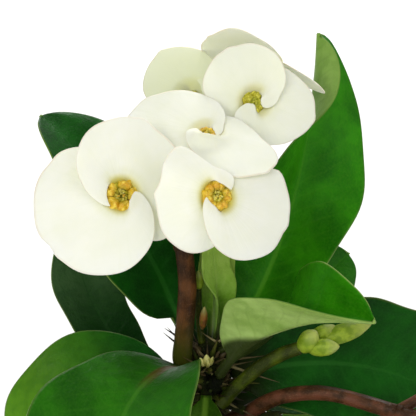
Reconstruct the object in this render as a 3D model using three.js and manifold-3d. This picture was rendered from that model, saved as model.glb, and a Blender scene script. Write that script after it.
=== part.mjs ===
// A crown of thorns plant, the large-flowered kind of Euphorbia milii, in a plain clay pot.
// One thick thorny stem stands in the soil and carries a rosette of spatulate leaves, a tall stalk with a
// head of white flowers, a second flowering stalk that leans out to the right, and two stalks in bud.
// Each flower is a small cup with five glands, the eye, set between two broad white bracts that lap round it.
// Millimetres, +Z up. The origin is the centre of the pot's foot. The best side faces -Y.

import * as THREE from "three";
import { mergeVertices } from "three/addons/utils/BufferGeometryUtils.js";
import Module from "manifold-3d";

const wasm = await Module();
wasm.setup();

const { lerp, smoothstep, degToRad: rad } = THREE.MathUtils;
const V = (x, y, z) => new THREE.Vector3(x, y, z);

// ---------------------------------------------------------------- driving dimensions

const GAP = 0.3; // between pieces that touch

const POT = {
  height: 90, footRadius: 39, rimRadius: 57, collarHeight: 20, collarStep: 3.5, wall: 5, floor: 7,
};

const SOIL = { top: 79, holeDepth: 22, relief: 0.9 };

const STEM = {
  profile: [[57, 8.6], [79, 9], [115, 7.9], [145, 6.8], [162, 5.6], [170, 4.4], [174, 3]], // height, radius
  top: 174.5,
  sides: 12,
  rings: 11,
  ribs: 5, // shallow ridges that wind up the stem
  ribDepth: 0.06,
  ribTurn: 0.035, // radians of twist per millimetre
};

const SPINE = { length: 9.5, radius: 0.75, spread: 33, rise: 18, sunk: 1.4 };
const SCARS = { from: 90, count: 26, spacing: 2.45, turn: 137.5 }; // old leaf scars, a pair of spines on each

const LEAF = {
  rows: 10,
  columns: 4,
  rib: 1.7, // thickness at the midrib's foot
  margin: 0.65,
  petiole: 3.4,
  curl: 14, // degrees each half-blade turns up towards its edge
  bossRadius: 1.9,
  bossLength: 3.2,
};

// Leaves. height: of the foot on the stem. azimuth: in plan, degrees from +X. pitch: above level, at the foot
// and at the tip. sweep: how far the azimuth has turned at the tip. roll: about the rib, foot and tip, and a
// positive one lifts the left side. left, right: how far each half-blade is folded up, foot and tip. fold:
// where along the leaf that changes. from: where round the stem the foot stands, if not at the azimuth. out:
// its distance from the stem's middle, if not on the skin. bare: no spines below the foot. foot: the share of
// its length that is a bare petiole. taper: below 1, the blade is full near its foot, above 1 it is slim there.
const LEAVES = {
  leaf_front_left: {
    height: 167, azimuth: 239, sweep: 22, pitch: [45, -88], roll: [14, -21], length: 102, width: 49,
  },
  leaf_left_low: {
    height: 156, azimuth: 214, sweep: -16, pitch: [75, -121], roll: [-6, -24], length: 78, width: 39,
  },
  leaf_left_mid: {
    height: 155, azimuth: 160, sweep: -6, pitch: [20, 90], roll: [-36, -58], length: 67, width: 21,
    bare: true,
  },
  leaf_left_tall: {
    height: 168, azimuth: 141, sweep: 18, pitch: [68, 38], roll: [-34, 0], length: 89, width: 44,
    foot: 0.16, taper: 0.5,
  },
  leaf_right_tall: {
    height: 167, azimuth: 48, sweep: 15, pitch: [37, 86], roll: [-12, 106], length: 109, width: 42,
    left: [29, 46], right: [21, 12], fold: [0.67, 0.86], taper: 0.75,
  },
  leaf_right_rear: {
    height: 163, azimuth: 33, sweep: 15, pitch: [34, 18], roll: [20, 45], length: 58, width: 22,
  },
  leaf_right_trough: {
    height: 167, azimuth: 317, sweep: 18, pitch: [60, 5], roll: [-16, 36], length: 63, width: 35,
    left: [-14, 50], right: [61, 54], fold: [0.2, 0.95], foot: 0.08, taper: 0.75, from: 298,
  },
  leaf_right_low: {
    height: 163, azimuth: 8, pitch: [17, -45], roll: [72, 46], length: 82, width: 44, taper: 0.7,
  },
  leaf_young: {
    height: 176.5, azimuth: 110, pitch: [100, 60], roll: [32, 36], length: 38, width: 16, out: 2.2,
    from: 20, left: [36, 6], right: [45, -7], fold: [0.4, 0.6],
  },
  leaf_young_rear: { height: 173, azimuth: 78, pitch: [66, 88], roll: [20, 20], length: 36, width: 12 },
  leaf_front: { height: 161, azimuth: 266, pitch: [-20, -70], length: 64, width: 25 },
  leaf_front_right: {
    height: 145, azimuth: 306, pitch: [12, -50], roll: [0, -10], length: 82, width: 36, taper: 0.7,
  },
  leaf_rear_left: { height: 160, azimuth: 108, pitch: [40, -18], length: 84, width: 33, bare: true },
  leaf_rear: { height: 156, azimuth: 84, pitch: [30, -35], length: 88, width: 35 },
  leaf_rear_tall: { height: 165, azimuth: 104, pitch: [56, 26], length: 76, width: 31 },
  leaf_rear_right: {
    height: 153, azimuth: 30, pitch: [8, -42], roll: [45, 30], length: 82, width: 38, taper: 0.7,
  },
  leaf_old_left: { height: 147, azimuth: 164, pitch: [8, -58], length: 76, width: 31 },
  leaf_old_rear: { height: 143, azimuth: 112, pitch: [4, -60], length: 74, width: 30 },
  leaf_old_right: { height: 141, azimuth: 12, pitch: [6, -58], length: 74, width: 30 },
};

const FLOWER = {
  spread: 152, // a bract runs this far round the eye on each side of its own axis
  claw: 2.5,
  overLap: 4.8, // radius at which the upper lobe passes the eye
  underLap: 5.2,
  dish: 3.4, // how far the blade stands above its claw
  pinwheel: 0.17, // slope that lifts one lobe over its neighbour
  recurve: 1.6, // how far the outer edge falls back
  thick: 0.65,
  steps: 12,
  rings: 3,
  collarRadius: 2.3,
  collarHeight: 0.8,
};

const EYE = { radius: 3.3, sides: 10, glands: 5 };

// Flowers. at: the middle of the collar. facing: azimuth and elevation. hand: 1 if each bract's left lobe
// lies over its neighbour, -1 if the right one does. eye: its size, where it isn't 1. bracts: turn, of the
// axis in the flower's own face, degrees from its right; and the outline, either edge, pairs of angle from
// the axis and distance from the eye, or an oval of reach, from the eye to the tip, lap, past the eye, and
// width. bend, of the tip forward. ceiling, the height above the eye where the flower above presses on it.
const MAIN_HEAD = {
  flower_left: {
    at: [-23.9, -29.7, 235], facing: [283, 32], hand: 1, eye: 1.2,
    bracts: [
      {
        turn: 67,
        edge: [
          [-150, 9], [-125, 15], [-100, 18], [-75, 19.5], [-50, 20.5], [-25, 21], [0, 22], [25, 21],
          [50, 19], [75, 14.5], [100, 10], [125, 7], [150, 5],
        ],
      },
      {
        turn: 216,
        edge: [
          [-150, 6], [-125, 10], [-100, 15], [-75, 18.5], [-50, 21.5], [-25, 24], [0, 24], [25, 23.5],
          [50, 20.5], [75, 16], [100, 11], [125, 7], [150, 5],
        ],
      },
    ],
  },
  flower_left_rear: {
    at: [-27, -0.9, 225.2], facing: [125, 20], hand: 1,
    bracts: [
      { turn: 15, reach: 21, lap: 4.4, width: 26 },
      { turn: 185, reach: 20, lap: 4.4, width: 26 },
    ],
  },
  flower_front: {
    at: [1.2, -33.4, 236.2], facing: [295, 31], hand: -1, eye: 1.06,
    bracts: [
      {
        turn: 166, bend: -2.6,
        edge: [
          [-150, 5], [-130, 6.8], [-110, 7.2], [-90, 7.4], [-75, 8.8], [-65, 11.5], [-57, 15.5], [-50, 17],
          [-30, 16.2], [-14, 14.6], [0, 15.6], [25, 16.2], [50, 16.5], [75, 15.5], [100, 12], [125, 9],
          [150, 5],
        ],
      },
      {
        turn: -29, bend: -1.2, ceiling: 5,
        edge: [
          [-150, 4], [-120, 6.3], [-100, 9.5], [-75, 15], [-50, 18.4], [-25, 21.2], [0, 22], [25, 22.2],
          [45, 22], [70, 17], [95, 12], [120, 8], [150, 5],
        ],
      },
    ],
  },
  flower_right: {
    at: [12.6, 6.2, 250.1], facing: [287, 27], hand: -1, eye: 0.95,
    bracts: [
      {
        turn: 108, bend: 0.5,
        edge: [
          [-150, 4], [-125, 5.5], [-100, 7.5], [-75, 11.7], [-50, 15.1], [-25, 17], [0, 17.2], [25, 16.8],
          [50, 15.5], [75, 12], [100, 9], [125, 7], [150, 5],
        ],
      },
      {
        turn: -20, bend: -1,
        edge: [
          [-150, 5], [-135, 7.8], [-115, 9.7], [-95, 10.5], [-75, 12.3], [-50, 14], [-25, 16.5], [0, 18.8],
          [20, 19], [35, 17.8], [50, 15.8], [75, 13], [100, 10], [125, 7], [150, 5],
        ],
      },
    ],
  },
  flower_rear_right: {
    at: [17, 22.2, 254.6], facing: [60, 48], hand: 1,
    bracts: [
      { turn: 24, reach: 19, lap: 4, width: 27, bend: -0.5 },
      { turn: 222, reach: 21, lap: 4.5, width: 29 },
    ],
  },
  flower_middle: {
    at: [-0.4, -12.2, 244.6], facing: [266, 70], hand: -1,
    bracts: [
      {
        turn: 138,
        edge: [
          [-150, 4], [-125, 4.8], [-100, 6], [-75, 9.9], [-50, 14.5], [-25, 19.7], [0, 24.5], [12, 25.5],
          [25, 25], [45, 19], [70, 14], [95, 10], [120, 7], [150, 5],
        ],
      },
      {
        turn: -40,
        edge: [
          [-150, 4.5], [-120, 7], [-95, 9], [-75, 10], [-55, 12], [-40, 17], [-25, 20.6], [0, 22.2],
          [15, 22], [25, 19.8], [38, 15.8], [53, 14], [75, 12.5], [100, 11], [125, 8], [150, 5],
        ],
      },
    ],
  },
  flower_rear_left: {
    at: [-4.2, 19.2, 247.6], facing: [248, 45], hand: 1,
    bracts: [
      {
        turn: 136, bend: -1,
        edge: [
          [-150, 4.5], [-100, 8], [-75, 11], [-50, 14.2], [-25, 17.7], [0, 20.2], [12, 19], [25, 17.2],
          [50, 14.8], [75, 12], [100, 9], [150, 5],
        ],
      },
      { turn: 280, reach: 20, lap: 4.5, width: 27 },
    ],
  },
  flower_rear: {
    at: [0, 33.5, 232], facing: [90, 6], hand: -1,
    bracts: [
      { turn: 55, reach: 21, lap: 4.4, width: 28 },
      { turn: 238, reach: 22, lap: 4.6, width: 29 },
    ],
  },
};

const SIDE_HEAD = {
  side_flower_front: {
    at: [80, -44, 172], facing: [296, 8], hand: 1,
    bracts: [{ turn: 75, reach: 21, lap: 4.6, width: 27 }, { turn: 250, reach: 22, lap: 5, width: 27 }],
  },
  side_flower_top: {
    at: [78, -24, 195], facing: [318, 66], hand: -1,
    bracts: [{ turn: 10, reach: 20, lap: 4.4, width: 26 }, { turn: 186, reach: 20, lap: 4.4, width: 26 }],
  },
  side_flower_rear: {
    at: [92, -12, 170], facing: [28, 10], hand: 1,
    bracts: [{ turn: 100, reach: 19, lap: 4.4, width: 26 }, { turn: 275, reach: 20, lap: 4.4, width: 27 }],
  },
};

// Flowering stalks. Each forks in two at every level, as the head's groups say.
const MAIN_STALK = {
  path: [V(-6.4, -2.5, 166.6), V(-7.9, -3.4, 172), V(-7.3, -3.8, 180), V(-6.2, -3.5, 196), V(-7.2, -3.2, 209)],
  radii: [2.5, 3, 2.85, 2.75, 2.6],
  groups: [
    [["flower_left", "flower_left_rear"], ["flower_front"]],
    [["flower_right", "flower_rear_right"], [["flower_middle"], ["flower_rear_left", "flower_rear"]]],
  ],
};
const SIDE_STALK = {
  path: [V(6.5, -4.6, 151), V(11.5, -7.2, 155), V(22, -11, 163), V(36, -16, 166.8), V(55, -24, 165.3)],
  radii: [2.3, 2.35, 2.3, 2.2, 2.3],
  groups: [["side_flower_front"], ["side_flower_top", "side_flower_rear"]],
};
const FORK = { share: 0.42, radius: 0.78, least: 1.15 };

// The stalk in bud, green, and its buds: at, axis, length, radius.
const BUD_STALK = {
  path: [V(4, -6.2, 158), V(8, -8, 164), V(15, -9.5, 172), V(22, -11, 177.5), V(27, -12, 180)],
  radii: [2.2, 2.1, 2.1, 2.1, 2.0],
};
const BUDS = [
  { at: V(27.8, -12.8, 179.8), axis: V(0.5, -0.3, 1), length: 8.6, radius: 3.1 },
  { at: V(29.4, -13.2, 180.6), axis: V(1, -0.3, 0.22), length: 9.8, radius: 2.8 },
  { at: V(29.4, -11.4, 181), axis: V(1, 0.25, 0.62), length: 10, radius: 2.5 },
  { at: V(32.5, -11, 181.6), axis: V(1, 0.15, 0.3), length: 17, radius: 2.7 },
];
// A young stalk beside the tall one, with a bud at its end, and a bud still close to the crown.
const SHOOT = { path: [V(-1.9, 1.4, 175), V(-2.8, 1.4, 184), V(-2.8, 0.4, 194)], radii: [1.2, 1, 0.85] };
const SHOOT_BUD = { at: V(-2.8, 0.4, 193.4), axis: V(0, -0.1, 1), length: 6.5, radius: 1.5 };
const CROWN_BUD = { at: V(-0.4, -5.15, 170.6), axis: V(0, -0.15, 1), length: 5, radius: 1.7 };

// ---------------------------------------------------------------- materials

const material = (color, roughness) => new THREE.MeshStandardMaterial({ color, roughness, metalness: 0 });
const CLAY = material(0xb5673f, 0.85);
const EARTH = material(0x3d2c20, 0.95);
const BARK = material(0x6a5d48, 0.8);
const STALK = material(0x6d4a34, 0.6);
const GREEN_STALK = material(0x6c7a26, 0.55);
const GREEN = material(0x2a661c, 0.4);
const YOUNG_GREEN = material(0x7aa63c, 0.45);
const WHITE = material(0xf6f4e6, 0.55);
const GOLD = material(0xc79a2e, 0.5);
const BUD_GREEN = material(0xa9bc46, 0.5);

// ---------------------------------------------------------------- building blocks

// Unit vector at an azimuth in plan and an elevation above level, both in degrees.
function heading(azimuth, elevation) {
  const [a, e] = [rad(azimuth), rad(elevation)];
  return V(Math.cos(a) * Math.cos(e), Math.sin(a) * Math.cos(e), Math.sin(e));
}

function geometryOf(points, faces) {
  const geometry = new THREE.BufferGeometry();
  geometry.setAttribute("position", new THREE.Float32BufferAttribute(points.flatMap((p) => p.toArray()), 3));
  geometry.setIndex(faces.flat());
  return geometry;
}

// Fuses closed geometries into one.
function fuse(...geometries) {
  const solids = geometries.map((geometry) => {
    const bare = geometry.clone();
    bare.deleteAttribute("normal");
    bare.deleteAttribute("uv");
    const merged = mergeVertices(bare, 1e-4);
    return new wasm.Manifold(
      new wasm.Mesh({
        numProp: 3,
        vertProperties: new Float32Array(merged.attributes.position.array),
        triVerts: new Uint32Array(merged.index.array),
      }),
    );
  });
  const mesh = solids.reduce((all, solid) => all.add(solid)).getMesh();
  const fused = new THREE.BufferGeometry();
  fused.setAttribute("position", new THREE.BufferAttribute(mesh.vertProperties, 3));
  fused.setIndex(new THREE.BufferAttribute(mesh.triVerts, 1));
  return fused;
}

// A closed round limb through the points, with a radius at each. shape(angle, index) scales the radius.
function limb(points, radii, sides, shape = () => 1) {
  const rings = [];
  const along = points.map((p, i) => (points[i + 1] ?? p).clone().sub(points[i - 1] ?? p).normalize());
  let across = V(0, 0, 1).cross(along[0]);
  if (across.length() < 0.2) across = V(1, 0, 0);
  points.forEach((p, i) => {
    across = across.clone().addScaledVector(along[i], -across.dot(along[i])).normalize();
    const over = along[i].clone().cross(across);
    for (let k = 0; k < sides; k++) {
      const angle = (2 * Math.PI * k) / sides;
      const radius = radii[i] * shape(angle, i);
      const point = p.clone().addScaledVector(across, radius * Math.cos(angle));
      rings.push(point.addScaledVector(over, radius * Math.sin(angle)));
    }
  });
  const start = rings.push(points[0].clone()) - 1;
  const end = rings.push(points[points.length - 1].clone()) - 1;
  const faces = [];
  const last = (points.length - 1) * sides;
  for (let k = 0; k < sides; k++) {
    const next = (k + 1) % sides;
    for (let i = 0; i < last; i += sides) {
      faces.push([i + k, i + next, i + sides + next], [i + k, i + sides + next, i + sides + k]);
    }
    faces.push([start, next, k], [end, last + k, last + next]);
  }
  return geometryOf(rings, faces);
}

// A closed blade on a grid of points, where columns cross rows is the upper face. thick(i, j) is its
// thickness. Both faces are split along the same diagonals.
function blade(grid, thick) {
  const [rows, columns] = [grid.length, grid[0].length];
  const normal = (i, j) => {
    const down = grid[Math.min(i + 1, rows - 1)][j].clone().sub(grid[Math.max(i - 1, 0)][j]);
    const right = grid[i][Math.min(j + 1, columns - 1)].clone().sub(grid[i][Math.max(j - 1, 0)]);
    return right.cross(down).normalize();
  };
  const normals = grid.map((row, i) => row.map((_, j) => normal(i, j)));
  const points = [0.5, -0.5].flatMap((side) =>
    grid.flatMap((row, i) => row.map((p, j) => p.clone().addScaledVector(normals[i][j], side * thick(i, j)))),
  );
  const top = (i, j) => i * columns + j;
  const under = rows * columns;
  const faces = [];
  for (let i = 0; i < rows - 1; i++) {
    for (let j = 0; j < columns - 1; j++) {
      const [a, b, c, d] = [top(i, j), top(i, j + 1), top(i + 1, j), top(i + 1, j + 1)];
      faces.push([a, b, c], [b, d, c]);
      faces.push([a + under, c + under, b + under], [b + under, c + under, d + under]);
    }
  }
  const edge = [];
  for (let j = 0; j < columns - 1; j++) edge.push([top(0, j), top(0, j + 1)]);
  for (let i = 0; i < rows - 1; i++) edge.push([top(i, columns - 1), top(i + 1, columns - 1)]);
  for (let j = columns - 1; j > 0; j--) edge.push([top(rows - 1, j), top(rows - 1, j - 1)]);
  for (let i = rows - 1; i > 0; i--) edge.push([top(i, 0), top(i - 1, 0)]);
  for (const [p, q] of edge) faces.push([p, p + under, q + under], [p, q + under, q]);
  return geometryOf(points, faces);
}

// A body turned about +Z. The profile's rings are [radius, height, lobing]; it starts and ends on the axis.
function turned(profile, sides, lobes = 0) {
  const rings = profile.slice(1, -1);
  const points = rings.flatMap(([radius, height, lobing = 0]) =>
    Array.from({ length: sides }, (_, k) => {
      const angle = (2 * Math.PI * k) / sides;
      const swell = 1 + lobing * Math.cos(lobes * angle);
      return V(radius * swell * Math.cos(angle), radius * swell * Math.sin(angle), height);
    }),
  );
  const start = points.push(V(0, 0, profile[0][1])) - 1;
  const end = points.push(V(0, 0, profile[profile.length - 1][1])) - 1;
  const faces = [];
  const last = (rings.length - 1) * sides;
  for (let k = 0; k < sides; k++) {
    const next = (k + 1) % sides;
    for (let i = 0; i < last; i += sides) {
      faces.push([i + k, i + next, i + sides + next], [i + k, i + sides + next, i + sides + k]);
    }
    faces.push([start, next, k], [end, last + k, last + next]);
  }
  return geometryOf(points, faces);
}

const plant = new THREE.Group();

function add(name, geometry, look, parent = plant) {
  const mesh = new THREE.Mesh(geometry, look);
  mesh.name = name;
  parent.add(mesh);
  return mesh;
}

// ---------------------------------------------------------------- pot and soil

const collarFoot = POT.height - POT.collarHeight;
const wallRadius = (z) => lerp(POT.footRadius, POT.rimRadius - POT.collarStep, z / collarFoot);
const innerRadius = (z) => wallRadius(Math.min(z, collarFoot)) - POT.wall;

function potGeometry() {
  const profile = [
    [0, 0],
    [POT.footRadius - 1.5, 0],
    [wallRadius(1.5), 1.5],
    [wallRadius(collarFoot), collarFoot],
    [POT.rimRadius - 0.8, collarFoot + 1],
    [POT.rimRadius, POT.height - 2],
    [POT.rimRadius - 1.5, POT.height],
    [innerRadius(POT.height) + 2, POT.height],
    [innerRadius(POT.height), POT.height - 2],
    [innerRadius(collarFoot), collarFoot],
    [innerRadius(POT.floor), POT.floor],
    [0, POT.floor],
  ];
  return turned(profile, 32);
}

function soilGeometry() {
  const edge = innerRadius(SOIL.top) - 0.4;
  const hole = stemRadius(SOIL.top) * (1 + STEM.ribDepth) + 0.4;
  const profile = [
    [0, POT.floor + GAP],
    [innerRadius(POT.floor) - 0.4, POT.floor + GAP],
    [edge - 0.3, collarFoot],
    [edge, SOIL.top - 1],
    [lerp(hole, edge, 0.8), SOIL.top],
    [lerp(hole, edge, 0.55), SOIL.top + 0.6],
    [lerp(hole, edge, 0.3), SOIL.top + 1],
    [hole, SOIL.top + 1.4],
    [hole, SOIL.top - SOIL.holeDepth],
    [0, SOIL.top - SOIL.holeDepth],
  ];
  const geometry = turned(profile, 30);
  const position = geometry.attributes.position;
  for (let i = 0; i < position.count; i++) {
    const [x, y, z] = [position.getX(i), position.getY(i), position.getZ(i)];
    if (z < SOIL.top - 0.5 || Math.hypot(x, y) < hole + 1) continue;
    position.setZ(i, z + SOIL.relief * Math.sin(x * 0.31 + y * 0.17) * Math.cos(y * 0.27 - x * 0.11));
  }
  return geometry;
}

// ---------------------------------------------------------------- stem

const stemFoot = SOIL.top - SOIL.holeDepth + GAP;

function stemRadius(z) {
  const i = Math.max(1, STEM.profile.findIndex(([height]) => height >= z));
  const [[low, a], [high, b]] = [STEM.profile[i - 1], STEM.profile[i]];
  return lerp(a, b, (z - low) / (high - low));
}

function trunkGeometry() {
  const heights = [stemFoot, SOIL.top];
  for (let i = 1; i <= STEM.rings; i++) heights.push(lerp(SOIL.top, STEM.top - 0.5, i / STEM.rings));
  return limb(
    [...heights, STEM.top].map((z) => V(0, 0, z)),
    [...heights.map(stemRadius), 1.6],
    STEM.sides,
    (angle, i) => 1 + STEM.ribDepth * Math.cos(STEM.ribs * (angle + STEM.ribTurn * (heights[i] ?? STEM.top))),
  );
}

// A three-sided spine from the stem's skin.
function spine(azimuth, height, rise, length) {
  const along = heading(azimuth, rise);
  const root = heading(azimuth, 0).multiplyScalar(stemRadius(height) - SPINE.sunk).add(V(0, 0, height));
  const corners = [0, 120, 240].map((turn) => {
    const side = heading(azimuth + 90, 0).applyAxisAngle(along, rad(turn));
    return root.clone().addScaledVector(side, SPINE.radius);
  });
  corners.push(root.clone().addScaledVector(along, length + SPINE.sunk));
  return geometryOf(corners, [[0, 2, 1], [0, 1, 3], [1, 2, 3], [2, 0, 3]]);
}

function spinePair(azimuth, height, rise = SPINE.rise, length = SPINE.length) {
  return [-1, 1].map((side) => spine(azimuth + side * SPINE.spread, height, rise, length));
}

function leafFoot(leaf) {
  const out = leaf.out ?? stemRadius(leaf.height) + 2;
  return heading(leaf.from ?? leaf.azimuth, 0).multiplyScalar(out).add(V(0, 0, leaf.height));
}

// The short cushion on the stem that a leaf or a stalk stands on, GAP short of its foot.
function boss(foot, along, radius) {
  const root = foot.clone().addScaledVector(along, -LEAF.bossLength);
  const face = foot.clone().addScaledVector(along, -GAP);
  return limb([root, face], [radius * 1.25, radius], 6);
}

function stemGeometry() {
  const pieces = [trunkGeometry()];
  for (let i = 0; i < SCARS.count; i++) {
    pieces.push(...spinePair(i * SCARS.turn, SCARS.from + i * SCARS.spacing));
  }
  for (const leaf of Object.values(LEAVES)) {
    pieces.push(boss(leafFoot(leaf), heading(leaf.azimuth, leaf.pitch[0]), LEAF.bossRadius));
    if (leaf.height < 165 && !leaf.bare) pieces.push(...spinePair(leaf.azimuth, leaf.height - 3.5, -12, 6.5));
  }
  for (const { path, radii } of [MAIN_STALK, SIDE_STALK, BUD_STALK, SHOOT]) {
    pieces.push(boss(path[0], path[1].clone().sub(path[0]).normalize(), radii[0]));
  }
  return fuse(...pieces);
}

// ---------------------------------------------------------------- leaves

const leafStation = (i, count) => 1 - (1 - i / count) ** 1.4; // rows stand closer towards the tip

// Share of the full width at s: a narrow foot, widest past the middle, a round tip.
function leafOutline({ foot = 0, taper = 1 }, s) {
  const [u, widest] = [Math.max((s - foot) / (1 - foot), 0), taper / (taper + 0.5)];
  return (u / widest) ** taper * ((1 - u) / (1 - widest)) ** 0.5;
}

function leafGrid(leaf, rows, columns) {
  const { azimuth, sweep = 0, pitch, roll = [0, 0] } = leaf;
  const { left = [14, 8], right = [14, 8], fold = [0.55, 0.85] } = leaf;
  const along = (s) => heading(azimuth + sweep * s, lerp(...pitch, s));
  const at = leafFoot(leaf);
  const grid = [];
  let before = 0;
  for (let i = 0; i <= rows; i++) {
    const s = leafStation(i, rows); // share of the way from foot to tip
    at.addScaledVector(along((s + before) / 2), (s - before) * leaf.length);
    before = s;
    const turn = rad(azimuth + sweep * s);
    const level = V(-Math.sin(turn), Math.cos(turn), 0).applyAxisAngle(along(s), rad(lerp(...roll, s)));
    const up = along(s).cross(level);
    const half = Math.max((leaf.width / 2) * leafOutline(leaf, s), lerp(LEAF.petiole / 2, 0.5, s));
    const row = [];
    for (let j = 0; j <= columns; j++) {
      const t = 1 - (2 * j) / columns; // 1 at the left margin, -1 at the right
      const reach = Math.abs(t) * half;
      const folded = smoothstep(s, ...fold);
      const angle = rad(lerp(...(t > 0 ? left : right), folded) + (LEAF.curl * Math.abs(t)) / 2);
      const point = at.clone().addScaledVector(level, Math.sign(t) * reach * Math.cos(angle));
      row.push(point.addScaledVector(up, reach * Math.sin(angle)));
    }
    grid.push(row);
  }
  return grid;
}

function leafGeometry(leaf) {
  const { rows, columns, rib, margin } = LEAF;
  const thick = (i, j) => lerp(lerp(rib, 0.9, i / rows), margin, Math.abs(1 - (2 * j) / columns));
  return blade(leafGrid(leaf, rows, columns), thick);
}

// ---------------------------------------------------------------- flowers

// The oval outline of a plain bract: its middle lies out along the bract's axis.
function oval({ reach, lap, width }, theta) {
  const [along, across, centre] = [(reach + lap) / 2, width / 2, (reach - lap) / 2];
  const a = (Math.cos(theta) / along) ** 2 + (Math.sin(theta) / across) ** 2;
  const b = (-2 * centre * Math.cos(theta)) / along ** 2;
  const c = (centre / along) ** 2 - 1;
  return (-b + Math.sqrt(b * b - 4 * a * c)) / (2 * a);
}

// Distance from the eye to a bract's edge, with the small point at its tip, cut short where the flower above
// presses on it.
function bractEdge(bract, theta) {
  const { turn, edge, ceiling = Infinity } = bract;
  const [angles, reaches] = [edge?.map(([angle]) => rad(angle)), edge?.map(([, r]) => r)];
  const outline = edge ? new THREE.CubicInterpolant(angles, reaches, 1).evaluate(theta)[0] : oval(bract, theta);
  const pressed = ceiling / Math.max(Math.sin(rad(turn) + theta), 1e-3);
  return Math.min(outline * (1 + 0.04 * Math.exp(-((theta / 0.2) ** 2))), pressed);
}

// A point of a bract at an angle from its axis and a distance from the eye.
function bractPoint(bract, hand, theta, rho) {
  const { claw, dish, pinwheel, recurve, collarHeight } = FLOWER;
  const { turn, bend = 0 } = bract;
  const rise = dish * smoothstep(rho, claw - 1.6, claw + 3.2);
  const slope = hand * pinwheel * rho * Math.sin(theta) + (bend - recurve) * (rho / bractEdge(bract, 0)) ** 2;
  const angle = rad(turn) + theta;
  return V(rho * Math.cos(angle), rho * Math.sin(angle), collarHeight / 2 + rise + slope);
}

function bractGeometry(bract, hand, eye) {
  const { spread, claw, overLap, underLap, thick, steps, rings } = FLOWER;
  const grid = [];
  for (let i = 0; i <= steps; i++) {
    const theta = rad(lerp(-spread, spread, i / steps));
    const lap = (hand * theta > 0 ? overLap : underLap) + (eye - 1) * EYE.radius;
    const inner = lerp(claw, lap, smoothstep(Math.abs(theta), rad(35), rad(85)));
    const outer = Math.max(bractEdge(bract, theta), inner + 0.8);
    const row = [];
    for (let j = 0; j <= rings; j++) {
      row.push(bractPoint(bract, hand, theta, lerp(inner, outer, (j / rings) ** 1.2)));
    }
    grid.push(row);
  }
  return blade(grid, () => thick);
}

// The two bracts and the collar that joins them, in the flower's own frame: +Z out of its face.
function bractsGeometry({ bracts, hand, eye = 1 }) {
  const { collarRadius, collarHeight } = FLOWER;
  const collar = turned([[0, 0], [collarRadius, 0], [collarRadius + 0.9, collarHeight], [0, collarHeight]], 8);
  return fuse(collar, ...bracts.map((bract) => bractGeometry(bract, hand, eye)));
}

// The eye: a cup whose rim swells into glands, with the tuft of stamens and styles in the middle.
function eyeGeometry({ eye = 1 }) {
  const foot = FLOWER.collarHeight + GAP;
  const radius = EYE.radius * eye;
  return turned(
    [
      [0, foot],
      [1.2, foot],
      [radius * 0.6, foot + 1.3 * eye, 0.04],
      [radius, foot + 2.5 * eye, 0.1],
      [radius * 0.68, foot + 3 * eye, 0.1],
      [radius * 0.36, foot + 2.4 * eye],
      [0, foot + 3.6 * eye],
    ],
    EYE.sides,
    EYE.glands,
  );
}

// A group at the flower's place whose +Z is the way it faces and whose +X is level.
function flowerFrame({ at, facing }) {
  const frame = new THREE.Group();
  const out = heading(...facing);
  const right = V(0, 0, 1).cross(out).normalize();
  const up = out.clone().cross(right);
  frame.quaternion.setFromRotationMatrix(new THREE.Matrix4().makeBasis(right, up, out));
  frame.position.set(...at);
  return frame;
}

const HEADS = { ...MAIN_HEAD, ...SIDE_HEAD };

// ---------------------------------------------------------------- flowering stalks

function stalkCurve(points, count) {
  return new THREE.CatmullRomCurve3(points).getPoints(count);
}

// A last twig: leaves the fork along its limb and arrives square to the flower's back.
function twig(fork, along, { at, facing }, radius) {
  const out = heading(...facing);
  const foot = V(...at).addScaledVector(out, -GAP);
  const neck = foot.clone().addScaledVector(out, -1.6);
  const pull = foot.distanceTo(fork) * 0.4;
  const curve = new THREE.CubicBezierCurve3(
    fork.clone().addScaledVector(along, -0.8),
    fork.clone().addScaledVector(along, pull),
    neck.clone().addScaledVector(out, -pull),
    neck,
  );
  const points = [...curve.getPoints(4), foot];
  return limb(points, [radius, radius, radius, radius, radius, radius + 0.4], 6);
}

// Everything past a fork. A group is a flower's name, or the two halves that fork again.
function branches(fork, along, group, radius) {
  const names = [group].flat(Infinity);
  if (names.length === 1) return [twig(fork, along, HEADS[names[0]], Math.max(radius, FORK.least))];
  const middle = V(0, 0, 0);
  for (const name of names) {
    const { at, facing } = HEADS[name];
    middle.add(V(...at).addScaledVector(heading(...facing), -8).divideScalar(names.length));
  }
  const next = fork.clone().lerp(middle, FORK.share);
  const onward = next.clone().sub(fork).normalize();
  const start = fork.clone().addScaledVector(onward, -1);
  const thin = Math.max(radius * FORK.radius, FORK.least);
  const bough = limb([start, next], [radius, radius * 0.95], 6);
  return [bough, ...group.flatMap((half) => branches(next, onward, half, thin))];
}

function stalkGeometry({ path, radii, groups }) {
  const count = 9;
  const points = stalkCurve(path, count);
  const widths = points.map((_, i) => {
    const place = (i / count) * (radii.length - 1);
    const whole = Math.min(Math.floor(place), radii.length - 2);
    return lerp(radii[whole], radii[whole + 1], place - whole);
  });
  const trunk = limb(points, widths, 8);
  if (!groups) return trunk;
  const end = points[count];
  const along = end.clone().sub(points[count - 1]).normalize();
  const radius = radii[radii.length - 1] * FORK.radius;
  return fuse(trunk, ...groups.flatMap((half) => branches(end, along, half, radius)));
}

function budGeometry({ at, axis, length, radius }) {
  const along = axis.clone().normalize();
  const shares = [[0, 0.35], [0.25, 0.85], [0.55, 1], [0.85, 0.55], [1, 0.12]];
  return limb(
    shares.map(([s]) => at.clone().addScaledVector(along, s * length)),
    shares.map(([, r]) => r * radius),
    6,
  );
}

// ---------------------------------------------------------------- assembly

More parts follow.
